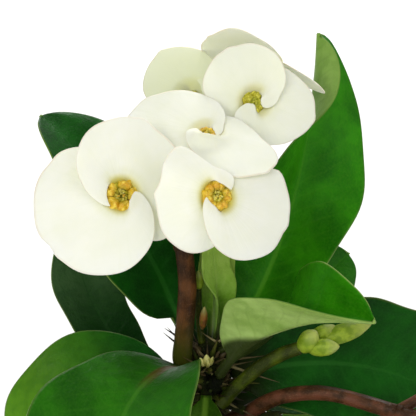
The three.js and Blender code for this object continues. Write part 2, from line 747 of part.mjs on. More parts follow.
add("pot", potGeometry(), CLAY);
add("soil", soilGeometry(), EARTH);
add("stem", stemGeometry(), BARK);
for (const [name, leaf] of Object.entries(LEAVES)) {
  add(name, leafGeometry(leaf), name.startsWith("leaf_young") ? YOUNG_GREEN : GREEN);
}
add("stalk_main", stalkGeometry(MAIN_STALK), STALK);
add("stalk_side", stalkGeometry(SIDE_STALK), STALK);
add("stalk_bud", stalkGeometry(BUD_STALK), GREEN_STALK);
add("buds", fuse(...BUDS.map(budGeometry)), BUD_GREEN);
add("shoot", fuse(limb(SHOOT.path, SHOOT.radii, 6), budGeometry(SHOOT_BUD)), GREEN_STALK);
add("bud_crown", budGeometry(CROWN_BUD), BUD_GREEN);
for (const [name, flower] of Object.entries(HEADS)) {
  const frame = flowerFrame(flower);
  plant.add(frame);
  add(`${name}_bracts`, bractsGeometry(flower), WHITE, frame);
  add(`${name}_eye`, eyeGeometry(flower), GOLD, frame);
}

export default plant;
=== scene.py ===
import random
from math import copysign, cos, degrees, exp, hypot, pi, radians, sin, sqrt

import bpy
from mathutils import Matrix, Vector, noise


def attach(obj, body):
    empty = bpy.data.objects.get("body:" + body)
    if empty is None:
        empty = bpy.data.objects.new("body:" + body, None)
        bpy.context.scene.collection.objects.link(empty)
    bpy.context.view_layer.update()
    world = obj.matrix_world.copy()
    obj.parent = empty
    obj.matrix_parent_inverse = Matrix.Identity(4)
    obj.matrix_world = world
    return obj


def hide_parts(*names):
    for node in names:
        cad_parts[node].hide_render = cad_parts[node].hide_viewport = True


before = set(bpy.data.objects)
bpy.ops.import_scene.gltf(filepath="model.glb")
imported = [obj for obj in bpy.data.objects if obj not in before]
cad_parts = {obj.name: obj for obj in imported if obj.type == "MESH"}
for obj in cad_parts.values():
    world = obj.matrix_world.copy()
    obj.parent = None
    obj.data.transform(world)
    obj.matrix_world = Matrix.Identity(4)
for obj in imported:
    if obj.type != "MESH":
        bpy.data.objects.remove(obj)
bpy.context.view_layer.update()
mm = 0.001


def lerp(a, b, share):
    return a + (b - a) * share


def ease(x, low, high):
    x = min(max((x - low) / (high - low), 0.0), 1.0)
    return x * x * (3 - 2 * x)


def bell(x, width):
    return exp(-((x / width) ** 2))


def heading(azimuth, elevation=0):
    a, e = radians(azimuth), radians(elevation)
    return Vector((cos(a) * cos(e), sin(a) * cos(e), sin(e)))


def polar(radius, angle, z):
    return Vector((radius * cos(angle), radius * sin(angle), z))


def through(knots, x):
    # A smooth curve through pairs of place and value.
    i = 0
    while i < len(knots) - 2 and x > knots[i + 1][0]:
        i += 1

    def lean(k):
        a, b = knots[max(k - 1, 0)], knots[min(k + 1, len(knots) - 1)]
        return (b[1] - a[1]) / (b[0] - a[0])

    (x0, y0), (x1, y1) = knots[i], knots[i + 1]
    s = min(max((x - x0) / (x1 - x0), 0.0), 1.0)
    h = x1 - x0
    return (
        y0 * (2 * s**3 - 3 * s**2 + 1)
        + y1 * (3 * s**2 - 2 * s**3)
        + h * lean(i) * (s**3 - 2 * s**2 + s)
        + h * lean(i + 1) * (s**3 - s**2)
    )


def colour(red, green, blue):
    # Screen colour, 0 to 255, as the shaders take it.
    def linear(c):
        c /= 255
        return c / 12.92 if c <= 0.04045 else ((c + 0.055) / 1.055) ** 2.4

    return (linear(red), linear(green), linear(blue), 1)


# Node helpers. A node goes into the tree of the sockets that feed it.

def feed(socket, value):
    if isinstance(value, bpy.types.NodeSocket):
        socket.id_data.links.new(value, socket)
    else:
        socket.default_value = value


def put(kind, values, **settings):
    tree = next(v.id_data for v in values.values() if isinstance(v, bpy.types.NodeSocket))
    made = tree.nodes.new("ShaderNode" + kind)
    for key, value in settings.items():
        setattr(made, key, value)
    for key, value in values.items():
        feed(made.inputs[key], value)
    return made


def calc(operation, a, b=0, c=0):
    return put("Math", {0: a, 1: b, 2: c}, operation=operation).outputs[0]


def times(a, b):
    return calc("MULTIPLY", a, b)


def plus(a, b):
    return calc("ADD", a, b)


def inverse(value):
    return calc("SUBTRACT", 1, value)


def ramp(value, low, high, start=0, end=1):
    values = {"Value": value, "From Min": low, "From Max": high, "To Min": start, "To Max": end}
    return put("MapRange", values, interpolation_type="SMOOTHSTEP").outputs[0]


def cloudy(vector, scale, detail, roughness=0.5):
    values = {"Vector": vector, "Scale": scale, "Detail": detail, "Roughness": roughness}
    return put("TexNoise", values).outputs[0]


def mix(share, a, b):
    return put("Mix", {0: share, 6: a, 7: b}, data_type="RGBA").outputs[2]


def tint(base, over, mask, amount):
    # The base with another colour over it, by an amount of the mask.
    return mix(times(mask, amount), base, over)


def join(x, y, z=0):
    return put("CombineXYZ", {0: x, 1: y, 2: z}).outputs[0]


def split(vector):
    return put("SeparateXYZ", {0: vector}).outputs


def stored(look, name):
    # What the mesh stores at its points: place or reach.
    made = look.node_tree.nodes.new("ShaderNodeAttribute")
    made.attribute_name = name
    return made.outputs["Vector"]


def position(look):
    return look.node_tree.nodes.new("ShaderNodeTexCoord").outputs["Object"]


def shader(look):
    return look.node_tree.nodes["Principled BSDF"].inputs


def newMaterial(name, roughness, specular, flesh=0, depth=1, radius=(1, 1, 1)):
    # flesh: how much light soaks in; depth: how far, in millimetres; radius: how far each colour goes.
    look = bpy.data.materials.new(name)
    look.use_nodes = True
    values = {"Roughness": roughness, "Specular IOR Level": specular, "Subsurface Weight": flesh,
              "Subsurface Radius": radius, "Subsurface Scale": depth * mm}
    for key, value in values.items():
        shader(look)[key].default_value = value
    return look


def finishLook(look, base, rough, relief, strength, distance):
    # rough may be None, which leaves the plain roughness. distance: the relief in millimetres.
    feed(shader(look)["Base Color"], base)
    if rough is not None:
        feed(shader(look)["Roughness"], rough)
    bump = put("Bump", {"Strength": strength, "Distance": distance * mm, "Height": relief})
    feed(shader(look)["Normal"], bump.outputs[0])
    return look


def newGroup(name, vectors, numbers, masks):
    tree = bpy.data.node_groups.new(name, "ShaderNodeTree")
    for label in vectors:
        tree.interface.new_socket(label, in_out="INPUT", socket_type="NodeSocketVector")
    for label, value in numbers.items():
        tree.interface.new_socket(label, in_out="INPUT", socket_type="NodeSocketFloat").default_value = value
    for label in masks:
        tree.interface.new_socket(label, in_out="OUTPUT", socket_type="NodeSocketFloat")
    return tree, tree.nodes.new("NodeGroupInput").outputs, tree.nodes.new("NodeGroupOutput").inputs


# Mottle: soft patches of a surface, from 0 to 1
maskEdge = {"Low": 0.4, "High": 0.6}
mottle, given, out = newGroup("mottle", ["Vector"], {"Scale": 5, "Detail": 3, **maskEdge}, ["Mask"])
cloud = cloudy(given["Vector"], given["Scale"], given["Detail"])
feed(out["Mask"], ramp(cloud, given["Low"], given["High"]))

# Streaks: fine lines that run along a stem or a stalk. Place is millimetres along, round and out.
streaks, given, out = newGroup("streaks", ["Place"], {"Along": 0.12, "Round": 1.6, **maskEdge}, ["Mask"])
along, around, _ = split(given["Place"])
cloud = cloudy(join(times(along, given["Along"]), times(around, given["Round"])), 1, 5, 0.62)
feed(out["Mask"], ramp(cloud, given["Low"], given["High"]))

# Veins of a leaf. Place is share along, share across and face; Reach is millimetres along and across.
veins, given, out = newGroup("leafVeins", ["Place", "Reach"], {"Spacing": 5.5, "Slant": 0.75},
                             ["Rib", "Side Veins", "Net", "Margin"])
share, across, _ = split(given["Place"])
alongMm, acrossMm, _ = split(given["Reach"])
offRib, offMiddle = calc("ABSOLUTE", acrossMm), calc("ABSOLUTE", across)
ribWidth = ramp(share, 0, 1, 1.5, 0.25)
feed(out["Rib"], inverse(ramp(calc("DIVIDE", offRib, ribWidth), 0.35, 1)))
bent = calc("MULTIPLY_ADD", cloudy(given["Reach"], 0.09, 2), 5, alongMm)
slanted = calc("SUBTRACT", bent, times(offRib, given["Slant"]))
sided = calc("MULTIPLY_ADD", calc("GREATER_THAN", acrossMm, 0), 2.6, slanted)
phase = calc("FRACT", calc("DIVIDE", sided, given["Spacing"]))
nearLine = calc("ABSOLUTE", calc("SUBTRACT", phase, 0.5))
feed(out["Side Veins"], times(inverse(ramp(nearLine, 0, 0.13)), inverse(ramp(offMiddle, 0.55, 0.95))))
net = put("TexVoronoi", {"Vector": given["Reach"], "Scale": 0.75}, feature="DISTANCE_TO_EDGE")
feed(out["Net"], inverse(ramp(net.outputs["Distance"], 0, 0.12)))
feed(out["Margin"], ramp(offMiddle, 0.97, 1))


def mottled(vector, scale, detail, low, high):
    values = {"Vector": vector, "Scale": scale, "Detail": detail, "Low": low, "High": high}
    return put("Group", values, node_tree=mottle).outputs[0]


def streaked(look, along, around, low, high):
    values = {"Place": stored(look, "place"), "Along": along, "Round": around, "Low": low, "High": high}
    return put("Group", values, node_tree=streaks).outputs[0]


# Mesh helpers

class Shells:
    # Gathers the closed shells of one piece.
    def __init__(self):
        self.points, self.faces, self.looks = [], [], []
        self.places, self.reaches = [], []

    def add(self, points, faces, look=0, places=None, reaches=None):
        start = len(self.points)
        blank = [(0.0, 0.0, 0.0)] * len(points)
        self.points += points
        self.places += places or blank
        self.reaches += reaches or blank
        self.faces += [[start + i for i in face] for face in faces]
        self.looks += [look] * len(faces)

    def move(self, turn):
        self.points = [turn @ p for p in self.points]

    def piece(self, name, node, looks):
        mesh = bpy.data.meshes.new(name)
        mesh.from_pydata([(x * mm, y * mm, z * mm) for x, y, z in self.points], [], self.faces)
        for key, values in (("place", self.places), ("reach", self.reaches)):
            data = mesh.attributes.new(key, "FLOAT_VECTOR", "POINT").data
            data.foreach_set("vector", [c for v in values for c in v])
        for look in looks:
            mesh.materials.append(look)
        mesh.polygons.foreach_set("material_index", self.looks)
        mesh.polygons.foreach_set("use_smooth", [True] * len(self.faces))
        mesh.update()
        made = bpy.data.objects.new(name, mesh)
        bpy.context.scene.collection.objects.link(made)
        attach(made, "root")
        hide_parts(node)


def limbFaces(count, sides):
    # Faces between rings of points, closed by a middle point at each end.
    last, faces = (count - 1) * sides, []
    for k in range(sides):
        after = (k + 1) % sides
        for i in range(0, last, sides):
            faces.append([i + k, i + after, i + sides + after, i + sides + k])
        faces += [[last + sides, after, k], [last + sides + 1, last + k, last + after]]
    return faces


def tube(shells, points, radii, sides, look=0, shape=None, shares=False):
    # A closed round limb. shape(angle, along) scales the radius; shares: reach is the share along.
    rings, places, reaches = [], [], []
    count = len(points)
    along = [(points[min(i + 1, count - 1)] - points[max(i - 1, 0)]).normalized() for i in range(count)]
    across = Vector((0, 0, 1)).cross(along[0])
    if across.length < 0.2:
        across = Vector((1, 0, 0))
    travelled = 0
    for i, p in enumerate(points):
        if i:
            travelled += (p - points[i - 1]).length
        across = (across - along[i] * across.dot(along[i])).normalized()
        over = along[i].cross(across)
        for k in range(sides):
            angle = 2 * pi * k / sides
            r = radii[i] * (shape(angle, travelled) if shape else 1)
            rings.append(p + across * (r * cos(angle)) + over * (r * sin(angle)))
            places.append((travelled, min(k, sides - k) / sides * 6.28 * max(radii[i], 0.3), r))
            reaches.append((i / (count - 1), 0, 0))
    rings += [points[0].copy(), points[-1].copy()]
    places += [(0, 0, 0), (travelled, 0, 0)]
    reaches += [(0, 0, 0), (1, 0, 0)]
    shells.add(rings, limbFaces(count, sides), look, places, reaches if shares else None)


def lathe(shells, profile, sides, look=0, wobble=None):
    # Turned about +Z. The profile runs from axis to axis. wobble(angle, z) adds to the radius.
    rings = profile[1:-1]
    points, places = [], []
    travelled = 0
    for i, (r, z) in enumerate(rings):
        if i:
            travelled += hypot(r - rings[i - 1][0], z - rings[i - 1][1])
        for k in range(sides):
            angle = 2 * pi * k / sides
            points.append(polar(r + (wobble(angle, z) if wobble else 0), angle, z))
            places.append((travelled, angle, 0))
    points += [Vector((0, 0, profile[0][1])), Vector((0, 0, profile[-1][1]))]
    places += [(0, 0, 0), (travelled, 0, 0)]
    shells.add(points, limbFaces(len(rings), sides), look, places)


def blade(shells, cells, sink=0.5):
    # A closed blade from rows of cells: point, thickness, place and reach. Columns cross rows is the
    # upper face. sink: share of the thickness above the middle.
    rows, columns = len(cells), len(cells[0])
    upper, lower, places, reaches = [], [], [], []
    for i in range(rows):
        for j in range(columns):
            down = cells[min(i + 1, rows - 1)][j][0] - cells[max(i - 1, 0)][j][0]
            right = cells[i][min(j + 1, columns - 1)][0] - cells[i][max(j - 1, 0)][0]
            normal = right.cross(down).normalized()
            point, thick, place, reach = cells[i][j]
            upper.append(point + normal * (thick * sink))
            lower.append(point + normal * (thick * (sink - 1)))
            places.append(place)
            reaches.append(reach)
    under = rows * columns
    faces = []
    for i in range(0, under - columns, columns):
        for a in range(i, i + columns - 1):
            b, c, d = a + 1, a + columns, a + columns + 1
            faces += [[a, b, d, c], [a + under, c + under, d + under, b + under]]
    last = (rows - 1) * columns
    rim = [(j, j + 1) for j in range(columns - 1)]
    rim += [(i * columns + columns - 1, (i + 1) * columns + columns - 1) for i in range(rows - 1)]
    rim += [(last + j, last + j - 1) for j in range(columns - 1, 0, -1)]
    rim += [(i * columns, (i - 1) * columns) for i in range(rows - 1, 0, -1)]
    faces += [[p, p + under, q + under, q] for p, q in rim]
    places = [(s, t, face) for face in (0, 1) for s, t in places]
    shells.add(upper + lower, faces, 0, places, reaches * 2)


# Pot

pot = {"height": 90, "footRadius": 39, "rimRadius": 57, "collarHeight": 20, "collarStep": 3.5, "wall": 5,
       "floor": 7, "clay": colour(190, 112, 74), "pale": colour(214, 158, 122), "deep": colour(150, 80, 50)}
collarFoot = pot["height"] - pot["collarHeight"]


def wallRadius(z):
    return lerp(pot["footRadius"], pot["rimRadius"] - pot["collarStep"], z / collarFoot)


def innerRadius(z):
    return wallRadius(min(z, collarFoot)) - pot["wall"]


def clayMaterial():
    look = newMaterial("clay", 0.85, 0.25)
    place = position(look)
    x, y, z = split(place)
    patches, fine = mottled(place, 38, 6, 0.35, 0.68), mottled(place, 900, 2, 0.35, 0.7)
    wheel = cloudy(join(times(x, 4), times(y, 4), times(z, 420)), 1, 3)
    base = mix(patches, pot["deep"], pot["clay"])
    base = tint(base, pot["pale"], fine, 0.3)
    base = tint(base, pot["pale"], wheel, 0.35)
    base = tint(base, colour(222, 196, 172), ramp(z, 0.055, 0, 0, 0.8), patches)
    return finishLook(look, base, ramp(patches, 0, 1, 0.72, 0.92), plus(fine, times(wheel, 3)), 0.35, 0.35)


def buildPot():
    shells = Shells()
    rim, foot, top, floor = pot["rimRadius"], pot["footRadius"], pot["height"], pot["floor"]
    profile = [(0, 0), (foot - 6, 0), (foot - 2.2, 0), (foot - 0.9, 0.35), (wallRadius(1.8), 1.8)]
    profile += [(wallRadius(z), z) for z in range(4, collarFoot - 1, 3)]
    profile += [(wallRadius(collarFoot) + 0.1, collarFoot - 0.6)]
    profile += [(rim - 1.8, collarFoot + 0.2), (rim - 0.8, collarFoot + 1.2)]
    profile += [(lerp(rim - 0.75, rim, i / 6), collarFoot + 2 + i * 2.5) for i in range(7)]
    profile += [(rim - 0.3, top - 1.3), (rim - 1.3, top - 0.2), (rim - 3, top)]
    inner = innerRadius(top)
    profile += [(inner + 1.6, top), (inner + 0.4, top - 0.6), (inner, top - 2)]
    profile += [(innerRadius(z), z) for z in range(top - 6, floor, -4)]
    profile += [(innerRadius(floor), floor), (0, floor)]

    def wobble(angle, z):
        uneven = 0.22 * noise.noise(polar(1.3, angle, z * 0.03)) + 0.09 * sin(z * 1.9 + angle)
        return uneven if z > 0 else 0

    lathe(shells, profile, 128, wobble=wobble)
    shells.piece("pot_clay", "pot", [clayMaterial()])


# Soil

soil = {"top": 79, "holeDepth": 22, "relief": 0.9, "crumbs": 900, "sides": 140, "rings": 46,
        "mound": [(0, 1.4), (0.3, 1), (0.55, 0.6), (0.8, 0), (1, -1)],
        "dark": colour(38, 27, 20), "mid": colour(74, 54, 38), "light": colour(126, 100, 72)}


def earthMaterial():
    look = newMaterial("earth", 0.95, 0.2)
    place = position(look)
    big, small = mottled(place, 110, 6, 0.38, 0.66), mottled(place, 800, 4, 0.5, 0.72)
    base = tint(mix(big, soil["dark"], soil["mid"]), soil["light"], small, 0.6)
    return finishLook(look, base, None, plus(small, big), 0.6, 0.8)


def crumbMaterial():
    look = newMaterial("crumbs", 0.9, 0.25)
    place = position(look)
    pick = split(put("TexVoronoi", {"Vector": place, "Scale": 260}).outputs["Color"])[0]
    grain = mottled(place, 1200, 3, 0.4, 0.7)
    base = mix(ramp(pick, 0.2, 0.8), soil["dark"], soil["mid"])
    base = mix(ramp(pick, 0.86, 0.92), base, soil["light"])
    return finishLook(look, tint(base, soil["light"], grain, 0.35), None, grain, 0.4, 0.4)


def soilHeight(x, y, edge, hole):
    s = (hypot(x, y) - hole) / (edge - hole)
    z = soil["top"] + through(soil["mound"], min(max(s, 0), 1))
    z += soil["relief"] * sin(x * 0.31 + y * 0.17) * cos(y * 0.27 - x * 0.11) * ease(s, 0, 0.15)
    z += 0.9 * noise.fractal(Vector((x * 0.16, y * 0.16, 3)), 1.0, 2.0, 4)
    return z + 0.5 * noise.noise(Vector((x * 0.9, y * 0.9, 7)))


def buildSoil():
    rng = random.Random(5)
    shells = Shells()
    foot, bottom = pot["floor"] + 0.3, soil["top"] - soil["holeDepth"]
    edge = innerRadius(soil["top"]) - 0.4
    hole = stemRadius(soil["top"]) * (1 + stem["ribDepth"]) + 0.4
    profile = [(0, foot), (innerRadius(pot["floor"]) - 0.4, foot), (edge - 0.3, collarFoot)]
    profile += [(lerp(edge, hole, i / soil["rings"]), 0) for i in range(soil["rings"] + 1)]
    profile += [(hole, bottom), (0, bottom)]
    lathe(shells, profile, soil["sides"])
    for i, p in enumerate(shells.points):
        if p.z == 0:
            shells.points[i] = Vector((p.x, p.y, soilHeight(p.x, p.y, edge, hole)))
    for _ in range(soil["crumbs"]):
        angle, r = rng.uniform(0, 2 * pi), sqrt(rng.uniform((hole + 1.5) ** 2, (edge - 2.5) ** 2))
        x, y = r * cos(angle), r * sin(angle)
        size = rng.choice([0.6, 0.8, 0.9, 1.1, 1.3, 1.8])
        lump(shells, rng, Vector((x, y, soilHeight(x, y, edge, hole) + size * 0.3)), size)
    shells.piece("soil_crumbs", "soil", [earthMaterial(), crumbMaterial()])


def lump(shells, rng, middle, size):
    # A small uneven crumb or bark chip.
    turn = Matrix.Rotation(rng.uniform(0, 6.28), 3, "Z") @ Matrix.Rotation(rng.uniform(-0.6, 0.6), 3, "X")
    stretch = Vector((rng.uniform(1, 1.9), rng.uniform(0.7, 1.1), rng.uniform(0.45, 0.8))) * size
    points = []
    for ring, (z, r) in enumerate(((-0.7, 0.7), (0.1, 1.0), (0.75, 0.6))):
        for k in range(6):
            p = polar(r * rng.uniform(0.8, 1.15), pi * (2 * k + ring) / 6, z * rng.uniform(0.8, 1.2))
            points.append(middle + turn @ (p * stretch))
    faces = [[5, 4, 3, 2, 1, 0], [12, 13, 14, 15, 16, 17]]
    for ring in (0, 6):
        faces += [[ring + k, ring + (k + 1) % 6, ring + 6 + (k + 1) % 6, ring + 6 + k] for k in range(6)]
    shells.add(points, faces, 1)


# Stem

stem = {
    "profile": [(57, 8.6), (79, 9), (115, 7.9), (145, 6.8), (162, 5.6), (170, 4.4), (174, 3)],
    "top": 174.5, "sides": 60, "step": 0.9, "ribs": 5, "ribDepth": 0.06, "ribTurn": 0.035,
    "bossRadius": 1.9, "bossLength": 3.2,
    "bark": colour(112, 98, 78), "barkPale": colour(160, 148, 124), "barkDark": colour(54, 44, 32),
    # crown: painted shade of the hollow among the leaf feet; the olive after it is partly their own colour
    # and partly painted shade.
    "crown": colour(12, 17, 3), "oliveInShade": colour(46, 54, 12),
}
spines = {"length": 9.5, "radius": 0.8, "spread": 33, "rise": 18, "sunk": 1.4, "sides": 8, "steps": 7,
          "bend": 1.2, "dark": colour(36, 28, 16), "pale": colour(140, 130, 88), "mid": colour(80, 68, 40)}
scars = {"from": 90, "count": 26, "spacing": 2.45, "turn": 137.5}


def stemRadius(z):
    rows = stem["profile"]
    for (low, a), (high, b) in zip(rows, rows[1:]):
        if z <= high:
            break
    return lerp(a, b, (z - low) / (high - low))


def onStem(azimuth, height, sunk):
    return heading(azimuth) * (stemRadius(height) - sunk) + Vector((0, 0, height))


def barkMaterial():
    look = newMaterial("bark", 0.82, 0.14)
    place = position(look)
    lines = streaked(look, 0.35, 1.3, 0.4, 0.66)
    patches, specks = mottled(place, 120, 5, 0.38, 0.62), mottled(place, 1100, 2, 0.55, 0.7)
    base = mix(patches, stem["barkDark"], stem["bark"])
    base = tint(base, stem["barkPale"], lines, 0.6)
    base = tint(base, stem["barkPale"], specks, 0.45)
    # Painted shade: towards the top the bark turns to near-black and dark olive patches, for the shade among
    # the leaf feet.
    base = mix(ramp(split(place)[2], 0.138, 0.158), base, mix(patches, stem["crown"], stem["oliveInShade"]))
    return finishLook(look, base, ramp(patches, 0, 1, 0.7, 0.9), plus(lines, patches), 0.7, 0.5)


def spineMaterial(name, low, high, grainShare=0.35):
    look = newMaterial(name, 0.5, 0.3)
    grain = streaked(look, 0.5, 3, 0.4, 0.7)
    base = mix(ramp(split(stored(look, "reach"))[0], 0.1, 0.9), low, high)
    return finishLook(look, tint(base, spines["mid"], grain, grainShare), None, grain, 0.2, 0.1)


def thorn(shells, root, along, length, radius, look, sag=1):
    # A curved spine that tapers to a point.
    points, radii = [], []
    for i in range(spines["steps"] + 1):
        s = i / spines["steps"]
        bend = sag * spines["bend"] * (s * s - s * 0.6) * length / spines["length"]
        points.append(root + along * (length * s) + Vector((0, 0, bend)))
        radii.append(max(radius * (1 - s) ** 0.8, 0.05))
    tube(shells, points, radii, spines["sides"], look, shares=True)


def thornPair(shells, azimuth, height, rise, length, rng=None):
    for side in (-1, 1):
        extra = rng.uniform(-5, 5) if rng else 0
        turn = azimuth + side * spines["spread"] + extra
        long = length * (rng.uniform(0.8, 1.08) if rng else 1) + spines["sunk"]
        root = onStem(turn, height, spines["sunk"])
        thorn(shells, root, heading(turn, rise + extra), long, spines["radius"], 1)


def leafFoot(leaf):
    away = leaf.get("out", stemRadius(leaf["height"]) + 2)
    return heading(leaf.get("footAzimuth", leaf["azimuth"])) * away + Vector((0, 0, leaf["height"]))


def boss(shells, foot, along, radius):
    points = [foot - along * stem["bossLength"] * s for s in (1.3, 0.9, 0.55, 0.25, 0.05)]
    tube(shells, points, [radius * r for r in (1.7, 1.45, 1.2, 1.06, 1.0)], 20)


def stemRelief(angle, z):
    ridge = 1 + stem["ribDepth"] * cos(stem["ribs"] * (angle + stem["ribTurn"] * z))
    for i in range(scars["count"]):
        height = scars["from"] + i * scars["spacing"]
        if abs(z - height) < 5:
            off = (degrees(angle) - i * scars["turn"] + 180) % 360 - 180
            mound = bell(off, 26) * bell(z - height, 2.6)
            pit = bell(off, 11) * bell(z - height - 0.6, 1.1)
            ridge += 0.13 * mound - 0.09 * pit
    return ridge + 0.035 * noise.fractal(polar(1.8, angle, z * 0.12), 1.0, 2.0, 4)


def buildStem():
    rng = random.Random(11)
    shells = Shells()
    low = soil["top"] - soil["holeDepth"] + 0.3
    count = int((stem["top"] - low) / stem["step"])
    heights = [lerp(low, stem["top"], i / count) for i in range(count + 1)]
    radii = [stemRadius(z) * (0.96 if z < stem["top"] - 1 else 0.6) for z in heights]
    tube(shells, [Vector((0, 0, z)) for z in heights], radii, stem["sides"],
         shape=lambda angle, along: stemRelief(angle, along + low) if along + low > soil["top"] - 2 else 1)
    for i in range(scars["count"]):
        height = scars["from"] + i * scars["spacing"]
        thornPair(shells, i * scars["turn"], height, spines["rise"], spines["length"], rng)
    for leaf in leaves.values():
        boss(shells, leafFoot(leaf), heading(leaf["azimuth"], leaf["pitch"][0]), stem["bossRadius"])
        if leaf["height"] < 165 and not leaf.get("bare"):
            thornPair(shells, leaf["azimuth"], leaf["height"] - 3.5, -12, 6.5)
    for stalk in (mainStalk, sideStalk, budStalk, shoot):
        path = [Vector(p) for p in stalk["path"]]
        boss(shells, path[0], (path[1] - path[0]).normalized(), stalk["radii"][0])
    looks = [barkMaterial(), spineMaterial("oldSpines", spines["mid"], spines["dark"]),
             spineMaterial("freshSpines", spines["pale"], spines["mid"]),
             spineMaterial("dryScales", colour(44, 56, 8), colour(84, 86, 26), 0.1)]
    crownDetail(shells, rng)
    shells.piece("stem_bark", "stem", looks)


crown = {
    # Single spines that show among the leaf feet: azimuth, height, rise, length, radius and look.
    "spines": [(180, 173, 34, 13.2, 0.95, 1), (186, 170, 51.5, 14.4, 0.8, 1), (176, 170, 39, 13.3, 0.85, 1),
        (225, 169, 38, 9, 0.45, 2), (255, 168, 20, 8, 0.45, 2), (318, 158, -4, 16, 0.5, 2),
        (326, 155, -18, 15, 0.5, 2), (305, 164, 16, 9, 0.45, 2), (338, 168, 20, 12, 0.5, 2),
        (285, 171, 34, 7, 0.4, 2), (345, 170, 13, 16, 0.55, 2), (332, 170, -6, 21, 0.6, 2),
        (296, 160, 22, 10, 0.45, 1), (328, 163, 30, 12, 0.5, 1), (268, 172, 55, 10, 0.45, 1),
        (300, 173, 62, 11, 0.45, 1), (240, 172, 50, 8, 0.45, 2), (340, 173, 26, 20, 1.2, 3),
        (316, 170, 26, 11, 1.1, 3), (292, 172, 58, 9, 1.0, 3), (344, 163, 4, 12, 0.9, 3),
        (275, 168, 30, 7, 1.3, 3), (250, 165, 20, 8, 1.3, 3), (290, 160, 8, 6, 1.4, 3),
        (262, 157, 0, 7, 1.4, 3), (310, 162, 20, 9, 1.2, 3)],
    "scales": 80,
    # Stubs of old stalks: azimuth, height, rise, length and radius.
    "stubs": [(322, 156.5, 2, 10, 1.3), (334, 151, -6, 13, 1.5), (345, 160, 14, 9, 1.2),
        (248, 160, 8, 5, 1.1), (312, 150, -14, 9, 1.7), (333, 149.5, 17, 20, 2.1), (300, 150, -4, 9, 2.0)],
}


def crownDetail(shells, rng):
    # Fine stipule spines and dry scales round the youngest leaf feet.
    for leaf in leaves.values():
        if leaf["height"] < 158:
            continue
        foot, azimuth = leafFoot(leaf), leaf["azimuth"]
        for side in (-1, 1):
            along = heading(azimuth + side * rng.uniform(50, 75), rng.uniform(10, 45))
            root = foot - heading(azimuth) * 2.6 + along * 0.6
            thorn(shells, root, along, rng.uniform(5, 7.5), 0.42, 2, 0.5)
    for azimuth, height, rise, long, radius, look in crown["spines"]:
        thorn(shells, onStem(azimuth, height, 1), heading(azimuth, rise), long, radius, look, 0.3)
    for k in range(crown["scales"]):
        azimuth, height = k * 137.5, lerp(156, 173.5, k / crown["scales"])
        along = heading(azimuth + rng.uniform(-30, 30), rng.uniform(15, 70))
        root = onStem(azimuth, height, 0.5)
        long, wide = rng.uniform(2.4, 6), rng.uniform(0.4, 1.0)
        tube(shells, [root, root + along * long * 0.3, root + along * long * 0.7, root + along * long],
             [wide * 0.9, wide, wide * 0.55, 0.08], 9, rng.choice([1, 1, 1, 3]))
    for azimuth, height, rise, long, radius in crown["stubs"]:
        root = onStem(azimuth, height, 1.5)
        tip = root + heading(azimuth, rise) * long
        tube(shells, [root.lerp(tip, i / 8) for i in range(9)],
             [radius * (1 + 0.2 * bell(i - 8, 1.2) + 0.06 * sin(i * 2.3)) for i in range(9)], 16)


# Leaves

leafShape = {"rows": 72, "columns": 26, "rib": 1.7, "margin": 0.45, "petiole": 3.4, "curl": 14, "wave": 0.55,
             "small": 45, "smallRows": 48, "smallColumns": 18}
tones = {name: dict(deep=colour(*deep), fresh=colour(*fresh), vein=colour(*vein), gloss=gloss)
         for name, deep, fresh, vein, gloss in (
             ("deep", (4, 44, 5), (20, 92, 14), (46, 112, 36), 0.08),
             ("rich", (12, 66, 4), (42, 116, 10), (78, 142, 34), 0.08),
             ("bright", (12, 84, 2), (54, 146, 6), (92, 160, 36), 0.08),
             ("yellow", (66, 118, 14), (90, 142, 24), (126, 166, 56), 0.12),
             ("young", (72, 122, 12), (106, 154, 32), (164, 190, 96), 0.16),
             ("dull", (1, 36, 1), (8, 50, 4), (36, 72, 30), 0.08))}
tipTones = {"yellow": tones["yellow"], "pale": dict(deep=colour(132, 166, 48), fresh=colour(160, 192, 80)),
            "sheen": dict(deep=colour(42, 72, 38), fresh=colour(66, 94, 56))}
# pale: the underside's own pale green made lighter still, as painted light for the trough leaf's underside,
# which the lamps leave in shade.
lowerTones = {"soft": dict(deep=colour(108, 146, 58), fresh=colour(136, 170, 82), vein=colour(88, 126, 46)),
              "pale": dict(deep=colour(138, 170, 80), fresh=colour(168, 196, 110), vein=colour(104, 138, 54))}
